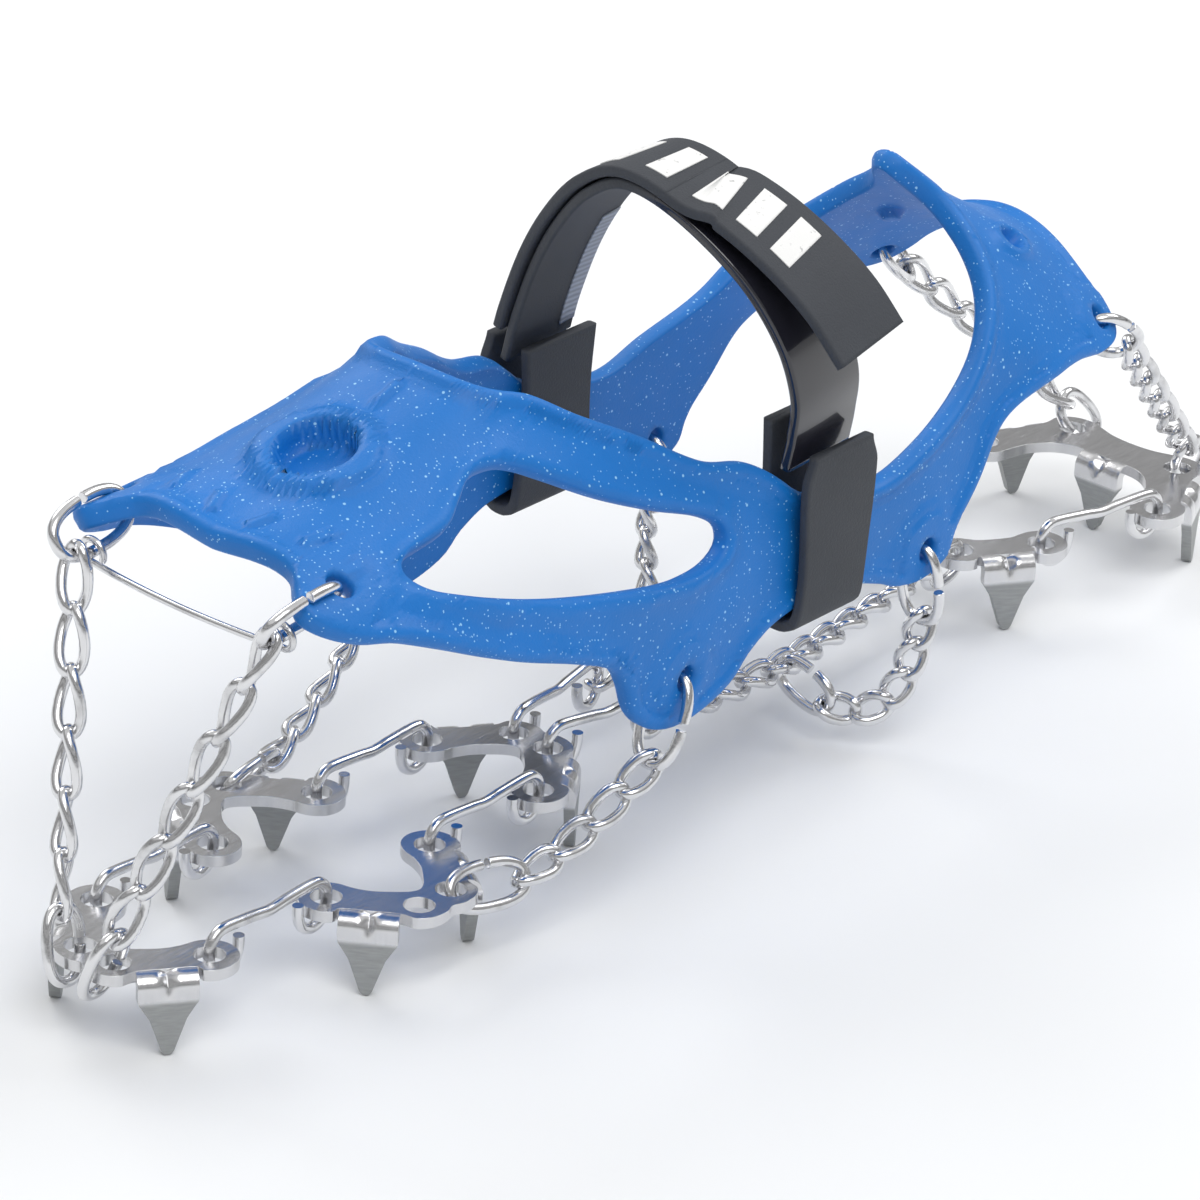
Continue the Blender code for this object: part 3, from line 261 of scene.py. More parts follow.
# Raised marks on the toe panel: centre on the surface, half length, half width, turn.
TOE_BARS = (
    ((0.42, 0.13), 2.3, 0.75, 1.15),
    ((1.2, 0.16), 2.3, 0.75, 1.2),
)
TICK_BAR = ((0.0, 0.84), 2.6, 0.6, 1.57)
BAR_HEIGHT = 0.6
BAR_SLOPE = 0.35


# Settings.


def length_property(name, description, length, least, most):
    """A length that a maker would change, in metres."""
    return bpy.props.FloatProperty(
        name=name, description=description, default=length, min=least, max=most, precision=5,
        unit="LENGTH", subtype="DISTANCE",
    )


class CleatSizes(bpy.types.PropertyGroup):
    """The sizes that a maker would change."""

    harness_thickness: length_property(
        "Harness thickness", "Thickness of the elastic harness between its rims", 0.003, 0.001, 0.006)
    rim_height: length_property(
        "Rim height", "How far the bead along every harness edge stands out", 0.0008, 0.0, 0.002)
    rim_width: length_property(
        "Rim width", "Width of the bead along every harness edge", 0.0024, 0.001, 0.004)
    strap_thickness: length_property(
        "Strap thickness", "Thickness of one run of the strap", 0.002, 0.001, 0.004)
    plate_thickness: length_property(
        "Plate thickness", "Thickness of the spiked plates", 0.002, 0.001, 0.003)
    hook_wire: length_property(
        "Hook wire radius", "Radius of the wire of the hooks between the plates", 0.00096, 0.0004, 0.0015)
    ring_wire: length_property(
        "Ring wire radius", "Radius of the wire of the oval rings", 0.00096, 0.0004, 0.0015)
    chain_wire: length_property(
        "Chain wire radius", "Radius of the wire of the chain links", 0.00092, 0.0004, 0.0012)


def colour_property(name, description, colour):
    """A colour that a maker would change."""
    return bpy.props.FloatVectorProperty(
        name=name, description=description, default=colour, size=3, min=0.0, max=1.0, subtype="COLOR",
    )


class CleatColours(bpy.types.PropertyGroup):
    """The colours of the cleat and the studio."""

    elastomer: colour_property("Elastomer", "The moulded harness", (0.0, 0.165, 0.56))
    fleck: colour_property("Fleck", "The bright flecks in the harness", (0.35, 0.68, 0.95))
    webbing: colour_property("Webbing", "The matte outer face of the strap", (0.032, 0.036, 0.044))
    gloss: colour_property("Glossy rubber", "The smooth inner run of the strap", (0.008, 0.008, 0.012))
    lining: colour_property("Lining", "The pale edge of the far leg of the strap", (0.42, 0.45, 0.52))
    print: colour_property("Print", "The printed bars on the strap", (0.85, 0.85, 0.84))
    steel: colour_property("Steel", "Polished plates and wire", (0.74, 0.74, 0.75))
    ground_steel: colour_property("Ground steel", "The matte faces of the spikes", (0.33, 0.34, 0.34))
    floor: colour_property("Floor", "The studio floor", (0.86, 0.87, 0.88))


def size(name):
    """A size setting in millimetres."""
    return getattr(bpy.context.scene.cleat_sizes, name) / MM


def colour(name):
    """A colour setting with full opacity."""
    return (*getattr(bpy.context.scene.cleat_colours, name), 1.0)


# Finishes.


class Term:
    """A value that varies over a surface; arithmetic on it adds Math nodes."""

    def __init__(self, sheet, socket):
        self.sheet = sheet
        self.socket = socket

    def __add__(self, other):
        return self.sheet.maths("ADD", self, other)

    __radd__ = __add__

    def __sub__(self, other):
        return self.sheet.maths("SUBTRACT", self, other)

    def __rsub__(self, other):
        return self.sheet.maths("SUBTRACT", other, self)

    def __mul__(self, other):
        return self.sheet.maths("MULTIPLY", self, other)

    __rmul__ = __mul__

    def __gt__(self, other):
        return self.sheet.maths("GREATER_THAN", self, other)


class NodeSheet:
    """A node tree that is being filled."""

    def __init__(self, tree):
        self.tree = tree

    def node(self, kind, settings=None, inputs=None, output=0):
        """A new node's output: its settings are set first, then its inputs are filled or linked."""
        made = self.tree.nodes.new(kind)
        for key, value in (settings or {}).items():
            if key == "stops":
                for index, (at, shade) in enumerate(value):
                    elements = made.color_ramp.elements
                    stop = elements[index] if index < 2 else elements.new(at)
                    stop.position = at
                    stop.color = (shade, shade, shade, 1.0)
            else:
                setattr(made, key, value)
        for key, value in (inputs or {}).items():
            self.feed(made.inputs[key], value)
        return Term(self, made.outputs[output])

    def feed(self, socket, value):
        """Links a term to a socket, or sets its value."""
        if isinstance(value, Term):
            self.tree.links.new(value.socket, socket)
        else:
            socket.default_value = value

    def maths(self, operation, first, second):
        """A Math node on two values."""
        return self.node("ShaderNodeMath", {"operation": operation}, {0: first, 1: second})


class Finish(NodeSheet):
    """A material under construction round one Principled shader."""

    def __init__(self, name, metallic=0.0):
        self.material = bpy.data.materials.new(name)
        self.material.use_nodes = True
        super().__init__(self.material.node_tree)
        self.shader = self.tree.nodes["Principled BSDF"]
        self.shader.inputs["Metallic"].default_value = metallic
        self.place = self.node("ShaderNodeTexCoord", output="Object")

    def noise(self, scale, detail=3.0, stretch=(1.0, 1.0, 1.0)):
        """Soft noise with so many features to a metre, drawn out by the stretch."""
        spots = self.node("ShaderNodeMapping", None, {"Vector": self.place, "Scale": stretch})
        return self.node("ShaderNodeTexNoise", None, {"Vector": spots, "Scale": scale, "Detail": detail})

    def blend(self, share, first, second):
        """A colour between two, by a share."""
        return self.node("ShaderNodeMix", {"data_type": "RGBA"}, {0: share, 6: first, 7: second}, 2)

    def between(self, value, low, high):
        """The value's way from low to high, from 0 to 1, with soft ends."""
        settings = {"interpolation_type": "SMOOTHSTEP"}
        return self.node("ShaderNodeMapRange", settings, {"Value": value, "From Min": low, "From Max": high})

    def along(self, axis):
        """The place along one axis of the object, in metres."""
        return self.node("ShaderNodeSeparateXYZ", None, {0: self.place}, axis)

    def bump(self, height, depth):
        """Relief of that depth in metres from a height between 0 and 1."""
        self.set("Normal", self.node("ShaderNodeBump", None, {"Height": height, "Distance": depth}))

    def set(self, name, value):
        """Fills or links an input of the shader."""
        self.feed(self.shader.inputs[name], value)


def darker(shade, share):
    """A colour brought towards black."""
    return (*(part * share for part in shade[:3]), 1.0)


def flecked_elastomer():
    """Moulded blue elastomer with tiny bright flecks."""
    finish = Finish("flecked_elastomer")
    blue = colour("elastomer")
    cloud = finish.noise(38.0, 4.0)
    shade = finish.blend(cloud, darker(blue, 0.86), darker(blue, 1.12))
    for scale, reach, kept in ((620.0, 0.2, 0.8), (1500.0, 0.27, 0.72)):
        inputs = {"Vector": finish.place, "Scale": scale, "Randomness": 1.0}
        gap = finish.node("ShaderNodeTexVoronoi", None, inputs, "Distance")
        pick = finish.node("ShaderNodeTexVoronoi", None, inputs, "Color")
        chosen = finish.node("ShaderNodeSeparateColor", None, {0: pick}, "Red") > kept
        fleck = finish.between(gap, reach, reach * 0.5) * chosen
        shade = finish.blend(fleck * 0.8, shade, colour("fleck"))
    finish.set("Base Color", shade)
    finish.set("Roughness", 0.42 + 0.2 * finish.noise(160.0))
    finish.bump(finish.noise(1900.0, 2.0), 0.00006)
    return finish.material


def matte_webbing():
    """The strap's matte charcoal face, with a fine leathery grain and worn patches."""
    finish = Finish("matte_webbing")
    base = colour("webbing")
    grain = finish.noise(2600.0, 5.0)
    patches = finish.noise(70.0, 4.0)
    shade = finish.blend(patches, darker(base, 0.8), darker(base, 1.35))
    finish.set("Base Color", finish.blend(grain * 0.35, shade, darker(base, 2.2)))
    finish.set("Roughness", 0.55 + 0.25 * grain)
    finish.bump(grain, 0.00012)
    return finish.material


def strap_arch_finish():
    """Glossy black rubber on the near leg, which turns matte on the far side of the arch."""
    finish = Finish("arch_rubber")
    base = colour("webbing")
    grain = finish.noise(2600.0, 5.0)
    far = finish.between(finish.along("Y"), -0.013, -0.004)
    matte = finish.blend(grain, darker(base, 0.8), darker(base, 1.5))
    streaks = finish.noise(90.0, 3.0, (1.0, 1.0, 0.3))
    glossy = finish.blend(streaks, colour("gloss"), darker(colour("gloss"), 2.5))
    finish.set("Base Color", finish.blend(far, glossy, matte))
    finish.set("Roughness", 0.1 + 0.1 * streaks + far * (0.35 + 0.2 * grain))
    finish.set("Coat Weight", 0.6 * (1.0 - far))
    finish.bump(grain * (0.08 + far), 0.0001)
    return finish.material


def pale_lining():
    """The pale woven tape along the far leg."""
    finish = Finish("pale_lining")
    weave = finish.node("ShaderNodeTexWave", {"bands_direction": "Z"},
                        {"Vector": finish.place, "Scale": 260.0, "Distortion": 1.5, "Detail": 2.0}, "Fac")
    base = colour("lining")
    finish.set("Base Color", finish.blend(weave, darker(base, 0.75), darker(base, 1.15)))
    finish.set("Roughness", 0.6 + 0.2 * weave)
    finish.bump(weave, 0.0001)
    return finish.material


PINHOLE_GREY = (0.5, 0.5, 0.5, 1.0)


def white_print():
    """Thick matte ink with a few pinholes."""
    finish = Finish("white_print")
    wear = finish.noise(900.0, 4.0)
    pinholes = finish.between(wear, 0.36, 0.28)
    finish.set("Base Color", finish.blend(pinholes, colour("print"), PINHOLE_GREY))
    finish.set("Roughness", 0.5 + 0.2 * wear)
    finish.bump(wear, 0.00006)
    return finish.material


def bright_wire():
    """Polished wire with fine drawing marks and dull spots."""
    finish = Finish("bright_wire", metallic=1.0)
    marks = finish.noise(420.0, 5.0, (1.0, 1.0, 2.5))
    dull = finish.between(finish.noise(150.0, 3.0), 0.5, 0.72)
    steel = colour("steel")
    finish.set("Base Color", finish.blend(dull, steel, darker(steel, 0.72)))
    finish.set("Roughness", 0.1 + 0.12 * marks + 0.14 * dull)
    finish.bump(marks, 0.00004)
    return finish.material


def plate_steel():
    """Polished plates whose spikes are ground to a matte grey below the fold."""
    finish = Finish("plate_steel", metallic=1.0)
    steel = colour("steel")
    ground = finish.between(finish.along("Z"), 0.0098, 0.0088)
    brush = finish.noise(260.0, 6.0, (1.0, 7.0, 1.0))
    cut_marks = finish.noise(300.0, 6.0, (1.2, 1.2, 9.0))
    polished = finish.blend(brush, darker(steel, 0.82), steel)
    matte = finish.blend(cut_marks, darker(colour("ground_steel"), 0.8), darker(colour("ground_steel"), 1.35))
    finish.set("Base Color", finish.blend(ground, polished, matte))
    finish.set("Roughness", 0.17 + 0.14 * brush + ground * (0.2 + 0.15 * cut_marks))
    finish.set("Metallic", 1.0 - 0.35 * ground)
    finish.bump(brush * (1.0 - ground) * 0.5 + cut_marks * ground, 0.00006)
    return finish.material


def studio_floor():
    """A pale floor with a barely uneven surface."""
    finish = Finish("studio_floor")
    cloud = finish.noise(3.0, 3.0)
    floor = colour("floor")
    finish.set("Base Color", finish.blend(cloud, darker(floor, 0.99), floor))
    finish.set("Roughness", 0.7 + 0.1 * cloud)
    return finish.material


# Building pieces.


def add_piece(name, points, faces, surface, slot, nodes=(), body=None, sharp=None):
    """A finished piece from points in millimetres; it rides with its nodes' body and stands for them."""
    mesh = bpy.data.meshes.new(name)
    local = np.array([np.asarray(p, float) for p in points]) * MM
    mesh.from_pydata([tuple(float(v) for v in p) for p in local], [], [tuple(f) for f in faces])
    mesh.validate()
    mesh.polygons.foreach_set("use_smooth", [True] * len(mesh.polygons))
    if sharp is not None:
        mesh.set_sharp_from_angle(angle=math.radians(sharp))
    mesh.update()
    made = bpy.data.objects.new(name, mesh)
    made.location = MAKER_ZERO * MM
    bpy.context.collection.objects.link(made)
    mesh.materials.append(surface)
    if nodes:
        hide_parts(*nodes)
    if body != "blended":
        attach(made, body or frame["nodes"][nodes[0]]["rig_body"])
    return made


def bevelled(piece, width):
    """Softens the hard edges of a piece by a width in millimetres."""
    bevel = piece.modifiers.new("bevel", "BEVEL")
    bevel.width = width * MM
    bevel.segments = 2
    bevel.limit_method = "ANGLE"
    bevel.angle_limit = math.radians(38)


def unit(vector):
    """The vector at length one."""
    vector = np.asarray(vector, float)
    return vector / np.linalg.norm(vector)


def tangents_of(points, closed):
    """The direction of the route at each of its points."""
    if closed:
        ahead = np.roll(points, -1, axis=0)
        behind = np.roll(points, 1, axis=0)
    else:
        ahead = np.vstack([points[1:], points[-1:]])
        behind = np.vstack([points[:1], points[:-1]])
    runs = ahead - behind
    return runs / np.linalg.norm(runs, axis=1)[:, None]


def round_outline(radius, sides):
    """A circle as an outline for swept."""
    turns = [2 * math.pi * (k + 0.5) / sides for k in range(sides)]
    return [(radius * math.cos(t), radius * math.sin(t)) for t in turns]


def frame_binormals(points, first):
    """Binormals that turn as little as possible along an open route."""
    tangents = tangents_of(np.asarray(points, float), False)
    found = [unit(first - np.dot(first, tangents[0]) * tangents[0])]
    for tangent in tangents[1:]:
        last = found[-1]
        found.append(unit(last - np.dot(last, tangent) * tangent))
    return found


def wire(points, radius, sides, first=(0.0, 1.0, 0.0)):
    """Points and faces of a round wire along an open route."""
    binormals = frame_binormals(points, np.asarray(first, float))
    return swept(points, binormals, round_outline(radius, sides), False)


def merged(parts):
    """Several meshes as one list of points and faces."""
    points = []
    faces = []
    for some_points, some_faces in parts:
        start = len(points)
        points.extend(some_points)
        faces.extend(tuple(i + start for i in face) for face in some_faces)
    return points, faces


def mirrored(half):
    """A closed outline from one half, without repeating the points on the line between."""
    other = [(x, -y) for x, y in reversed(half) if abs(y) > 1e-9]
    return list(reversed([*half, *other]))


def turned_place(centre_x, centre_y, turn):
    """Carries plate coordinates to the world: turned about Z, then moved."""
    cos, sin = math.cos(turn), math.sin(turn)

    def place(x, y, z):
        return np.array([centre_x + cos * x - sin * y, centre_y + sin * x + cos * y, z])

    return place


def both_sides(spots):
    """Each spot and its mirror image."""
    return [(x, side * y) for x, y in spots for side in (1, -1)]


def oval_loop(centre, along, plane_normal, half_length, half_width, count, cut=0.0, twist=0.0):
    """Points on an oval, and the normals of its plane, which turns by the twist from end to end."""
    along = unit(along)
    normal = unit(plane_normal - np.dot(plane_normal, along) * along)
    side = np.cross(normal, along)
    points = []
    normals = []
    steps = count + 1 if cut else count
    for k in range(steps):
        if cut:
            share = cut / 2 + (1 - cut) * k / count
            turn = math.pi / 2 + 2 * math.pi * share
        else:
            turn = 2 * math.pi * k / count
        c, s = math.cos(turn), math.sin(turn)
        u = math.copysign(abs(c) ** 0.8, c) * half_length
        v = math.copysign(abs(s) ** 0.8, s) * half_width
        lean = twist * u / half_length / 2
        across = math.cos(lean) * side + math.sin(lean) * normal
        points.append(centre + along * u + across * v)
        normals.append(math.cos(lean) * normal - math.sin(lean) * side)
    return points, normals


def mirror_y(point, side):
    """The point as it is on the left, or its mirror image on the right."""
    return np.array([point[0], point[1] * (1 if side < 0 else -1), point[2]], float)


ROUTE_SHARES = (np.arange(24) / 24)[:, None]


def smooth_route(points, count, closed=False):
    """Even points on a smooth curve through the given ones."""
    points = np.asarray(points, float)
    total = len(points)
    spans = total if closed else total - 1
    share = ROUTE_SHARES
    dense = []
    for span in range(spans):
        if closed:
            a, b, c, d = (points[(span + k) % total] for k in (-1, 0, 1, 2))
        else:
            b, c = points[span], points[span + 1]
            a = points[span - 1] if span > 0 else 2 * b - c
            d = points[span + 2] if span + 2 < total else 2 * c - b
        cubic = 3 * b - 3 * c + d - a
        square = 2 * a - 5 * b + 4 * c - d
        dense.extend(0.5 * (2 * b + (c - a) * share + square * share ** 2 + cubic * share ** 3))
    dense.append(points[0] if closed else points[-1])
    dense = np.array(dense)
    runs = np.concatenate([[0], np.cumsum(np.linalg.norm(np.diff(dense, axis=0), axis=1))])
    wanted = np.linspace(0, runs[-1], count + 1 if closed else count)
    if closed:
        wanted = wanted[:-1]
    return np.stack([np.interp(wanted, runs, dense[:, k]) for k in range(dense.shape[1])], axis=1)


def swept(points, binormals, outline, closed, widths=None):
    """Points and faces of an outline carried along a route; the outline is (across, along the binormal)."""
    points = np.asarray(points, float)
    tangents = tangents_of(points, closed)
    outline = np.asarray(outline, float)
    widths = np.ones(len(points)) if widths is None else widths
    verts = []
    for point, tangent, binormal, width in zip(points, tangents, binormals, widths):
        binormal = unit(binormal - np.dot(binormal, tangent) * tangent)
        across = np.cross(binormal, tangent)
        verts.extend(point + across * u + binormal * v * width for u, v in outline)
    sides = len(outline)
    rings = len(points)
    faces = []
    for ring in range(rings if closed else rings - 1):
        after = (ring + 1) % rings
        for side in range(sides):
            follow = (side + 1) % sides
            here, ahead = ring * sides, after * sides
            faces.append((here + side, here + follow, ahead + follow, ahead + side))
    if not closed:
        faces.append(tuple(reversed(range(sides))))
        faces.append(tuple(range((rings - 1) * sides, rings * sides)))
    return verts, faces


def ease(value, low, high):
    """The value's way from low to high, from 0 to 1, with soft ends."""
    share = np.clip((value - low) / (high - low), 0.0, 1.0)
    return share * share * (3 - 2 * share)


# The harness surface.


def sections_at(along):
    """The three points of the harness section at each station, smooth between the listed ones."""
    stations = np.array(HARNESS_STATIONS, float)
    last = len(stations) - 1
    flip = np.array([1.0, -1.0, 1.0])
    padded = np.concatenate([stations[1:2] * flip, stations, stations[last - 1:last] * flip])
    low = np.clip(np.floor(along).astype(int), 0, last - 1)
    f = (along - low)[:, None, None]
    a, b, c, d = (padded[low + k] for k in range(4))
    square = 2 * a - 5 * b + 4 * c - d
    cubic = 3 * b - 3 * c + d - a
    return 0.5 * (2 * b + (c - a) * f + square * f * f + cubic * f ** 3)


def harness_points(spots):
    """Points of the harness middle surface on the left side."""
    spots = np.asarray(spots, float).reshape(-1, 2)
    sections = sections_at(spots[:, 0])
    t = spots[:, 1:2]
    low, middle, high = sections[:, 0], sections[:, 1], sections[:, 2]
    found = low * (1 - t) * (1 - 2 * t) + middle * 4 * t * (1 - t) + high * t * (2 * t - 1)
    return found * (1, -1, 1)


def harness_slopes(spots):
    """The two surface slopes and the outward normals at spots."""
    spots = np.asarray(spots, float).reshape(-1, 2)
    h = 0.02
    by_along = (harness_points(spots + (h, 0)) - harness_points(spots - (h, 0))) / (2 * h)
    by_across = (harness_points(spots + (0, h)) - harness_points(spots - (0, h))) / (2 * h)
    normals = np.cross(by_along, by_across)
    return by_along, by_across, normals / np.linalg.norm(normals, axis=1)[:, None]


def harness_moved(spots, shifts):
    """The surface coordinates of spots moved by shifts in millimetres."""
    spots = np.asarray(spots, float).reshape(-1, 2)
    u, v, _ = harness_slopes(spots)
    uu, uv, vv = (u * u).sum(1), (u * v).sum(1), (v * v).sum(1)
    us, vs = (u * shifts).sum(1), (v * shifts).sum(1)
    scale = uu * vv - uv * uv
    return spots + np.stack([(us * vv - vs * uv) / scale, (vs * uu - us * uv) / scale], axis=1)


def harness_axes(centre):
    """Directions along the harness and across it at a spot."""
    by_along, _, normal = harness_slopes([centre])
    first = unit(by_along[0])
    return first, np.cross(normal[0], first)


def harness_oval(centre, radius, stretch=1.0):
    """An oval of surface coordinates round a centre, longer across the harness by the stretch."""
    first, second = harness_axes(centre)
    count = max(10, int(2 * math.pi * radius * stretch / EDGE_STEP))
    turns = 2 * math.pi * np.arange(count)[:, None] / count
    shifts = radius * (np.cos(turns) * first + stretch * np.sin(turns) * second)
    return harness_moved([centre] * count, shifts)


def bar_axes(centre, turn):
    """Directions along and across a raised bar."""
    first, second = harness_axes(centre)
    return math.cos(turn) * first + math.sin(turn) * second, math.cos(turn) * second - math.sin(turn) * first


def harness_bar(bar, margin):
    """The outline of a raised bar, grown by a margin, in surface coordinates."""
    centre, half_length, half_width, turn = bar
    along, across = bar_axes(centre, turn)
    length, width = half_length + margin, half_width + margin
    steps = np.linspace(-1, 1, 9)
    edge = [(s * length, width) for s in steps] + [(s * length, -width) for s in steps]
    edge += [(length, 0.0), (-length, 0.0)]
    return harness_moved([centre] * len(edge), np.array([along * u + across * v for u, v in edge]))


def harness_inset(loop, distance, closed):
    """A loop of surface coordinates moved to its left by a distance along the surface."""
    loop = np.asarray(loop, float)
    if closed:
        before, after = np.roll(loop, 1, axis=0), np.roll(loop, -1, axis=0)
    else:
        before, after = np.vstack([loop[:1], loop[:-1]]), np.vstack([loop[1:], loop[-1:]])
    runs = harness_points(after) - harness_points(before)
    runs /= np.linalg.norm(runs, axis=1)[:, None]
    return harness_moved(loop, distance * np.cross(harness_slopes(loop)[2], runs))


def edge_on_harness(points, step, closed=False):
    """Even surface coordinates along an edge given by a few of them."""
    scaled = np.array(points, float) * (STATION_SCALE, ACROSS_SCALE)
    length = np.linalg.norm(np.diff(scaled, axis=0), axis=1).sum()
    return smooth_route(scaled, int(length / step), closed) / (STATION_SCALE, ACROSS_SCALE)


def inside(loop, points):
    """Which points lie inside a closed loop."""
    x, y = np.asarray(points, float).T
    found = np.zeros(len(x), bool)
    for (ax, ay), (bx, by) in zip(loop, np.roll(loop, -1, axis=0)):
        if ay != by:
            found ^= ((ay > y) != (by > y)) & (x < ax + (y - ay) * (bx - ax) / (by - ay))
    return found


def filled(flat_points, loops, least_turn):
    """Points and anticlockwise triangles that fill the first loop outside the others."""
    joins = []
    start = 0
    for loop in loops:
        joins.extend((start + k, start + (k + 1) % len(loop)) for k in range(len(loop)))
        start += len(loop)
    found = delaunay_2d_cdt([tuple(p) for p in flat_points], joins, [], 0, 1e-5)
    flat = np.array([tuple(p) for p in found[0]])
    triangles = np.array([tuple(face) for face in found[2] if len(face) == 3])
    kept = outside_holes(loops, flat[triangles].mean(axis=1))
    a, b, c = (flat[triangles[:, k]] for k in range(3))
    turn = (b[:, 0] - a[:, 0]) * (c[:, 1] - a[:, 1]) - (b[:, 1] - a[:, 1]) * (c[:, 0] - a[:, 0])
    kept &= np.abs(turn) > least_turn
    return flat, np.where((turn > 0)[:, None], triangles, triangles[:, ::-1])[kept]


def outside_holes(loops, points):
    """Which points lie inside the first loop and outside the others."""
    found = inside(loops[0], points)
    for loop in loops[1:]:
        found &= ~inside(loop, points)
    return found


def thick_faces(top, count):
    """Faces of a sheet from those of its top: the bottom's points follow the top's; and its free edges."""
    faces = top + [(c + count, b + count, a + count) for a, b, c in top]
    sides = {(a, b) for face in top for a, b in zip(face, face[1:] + face[:1])}
    return faces, sorted((a, b) for a, b in sides if (b, a) not in sides)


def tree_of(points):
    """A search tree of points in space or on a flat surface."""
    points = np.asarray(points, float)
    if points.shape[1] == 2:
        points = np.column_stack([points, np.zeros(len(points))])
    tree = kdtree.KDTree(len(points))
    for index, point in enumerate(points):
        tree.insert(point, index)
    tree.balance()
    return tree


def gaps_to(tree, points):
    """How far each point lies from the nearest one in the tree."""
    points = np.asarray(points, float)
    if points.shape[1] == 2:
        points = np.column_stack([points, np.zeros(len(points))])
    return np.array([tree.find(point)[2] for point in points])


LOBES = (TOE_LOBE, MIDDLE_LOBE, REAR_LOBE, HEEL_LOBE)

# Reaches past an edge where a low step begins and ends.
RIM_LEDGE = (1.1, 1.6)
LOBE_COLLAR = (2.0, 2.6)
BOSS_FOOT = (1.0, 1.5)
DISC_SLOPE = 0.45
COLLAR_SLOPE = 0.4
LEAST_FINE_GAP = 0.25

# Bosses: centre, inner and outer radius, height, stretch, recess depth and the reaches of its rows of points.
BOSSES = (
    (TOE_BOSS, TOE_BOSS_INNER, TOE_BOSS_OUTER, TOE_BOSS_HEIGHT, 1.0, 3.4, (2.0, 0.9, 0.55, 0.2, 0.0)),
    (HEEL_BOSS, HEEL_BOSS_INNER - 0.8, HEEL_BOSS_OUTER - 1.2, HEEL_BOSS_HEIGHT, 1.5, 1.5,
     (1.4, 0.9, 0.5, 0.2, 0.0)),
)


def boss_reach(points, centre, stretch):
    """How far points lie from a boss's centre, with the long way of an oval boss shortened."""
    first, second = harness_axes(centre)
    away = points - harness_points([centre])[0]
    flat = np.hypot(away @ first, away @ second / stretch)
    return np.maximum(flat, np.abs(away @ np.cross(first, second)) - 6.0)


def harness_relief(points, edge_gap):
    """How far the outer face stands out, and how far the inner one is pressed in, at points."""
    width = size("rim_width")
    bead = ease(edge_gap, -0.5, 0.6) * (1 - ease(edge_gap, width - 0.5, width))
    ledge = 0.3 * (1 - ease(edge_gap, width + RIM_LEDGE[0], width + RIM_LEDGE[1]))
    height = np.maximum(size("rim_height") * bead, ledge * size("rim_height"))
    for lobe in LOBES:
        reach = np.linalg.norm(points - harness_points([lobe])[0], axis=1)
        disc = 1 - ease(reach, LOBE_DISC_RADIUS, LOBE_DISC_RADIUS + DISC_SLOPE)
        past = reach - LOBE_DISC_RADIUS
        collar = 0.45 * (1 - ease(past, *LOBE_COLLAR))
        height = np.maximum(height, LOBE_DISC_HEIGHT * np.maximum(disc, collar))
    for centre, half_length, half_width, turn in (*TOE_BARS, TICK_BAR):
        along, across = bar_axes(centre, turn)
        away = points - harness_points([centre])[0]
        out = np.maximum(np.abs(away @ along) - half_length, np.abs(away @ across) - half_width)
        near = np.linalg.norm(away, axis=1) < half_length + 2
        height = np.where(near, np.maximum(height, BAR_HEIGHT * (1 - ease(out, 0.0, BAR_SLOPE))), height)
    press = np.zeros(len(points))
    for centre, inner, outer, rise, stretch, depth, _ in BOSSES:
        reach = boss_reach(points, centre, stretch)
        rising = ease(reach, inner - COLLAR_SLOPE, inner)
        collar = rising * (1 - ease(reach, outer - COLLAR_SLOPE, outer))
        foot = 0.25 * (1 - ease(reach, outer + BOSS_FOOT[0], outer + BOSS_FOOT[1])) * rising
        height = np.maximum(height, rise * np.maximum(collar, foot))
        press = np.maximum(press, depth * (1 - ease(reach, inner - 0.9, inner - 0.2)))
    return height - press, press


def relief_spots(lower, upper, window):
    """Surface coordinates along every step of the relief."""
    width = size("rim_width")
    found = [harness_oval(lobe, LOBE_DISC_RADIUS + reach)
             for lobe in LOBES for reach in (0.0, DISC_SLOPE, LOBE_COLLAR[0], LOBE_COLLAR[1])]
    for centre, inner, outer, _, stretch, _, recess in BOSSES:
        reaches = [inner - reach for reach in recess]
        reaches += [outer - COLLAR_SLOPE, outer, outer + BOSS_FOOT[0], outer + BOSS_FOOT[1]]
        found += [harness_oval(centre, reach, stretch) for reach in reaches]
    found += [harness_bar(bar, margin) for bar in (*TOE_BARS, TICK_BAR) for margin in (0.0, BAR_SLOPE)]
    for reach in (0.3, 0.7, width - 0.5, width, width + RIM_LEDGE[0], width + RIM_LEDGE[1]):
        found.append(harness_inset(lower, reach, False))
        found.append(harness_inset(upper, reach, False))
        found.append(harness_inset(window, -reach, True))
    return np.vstack(found)


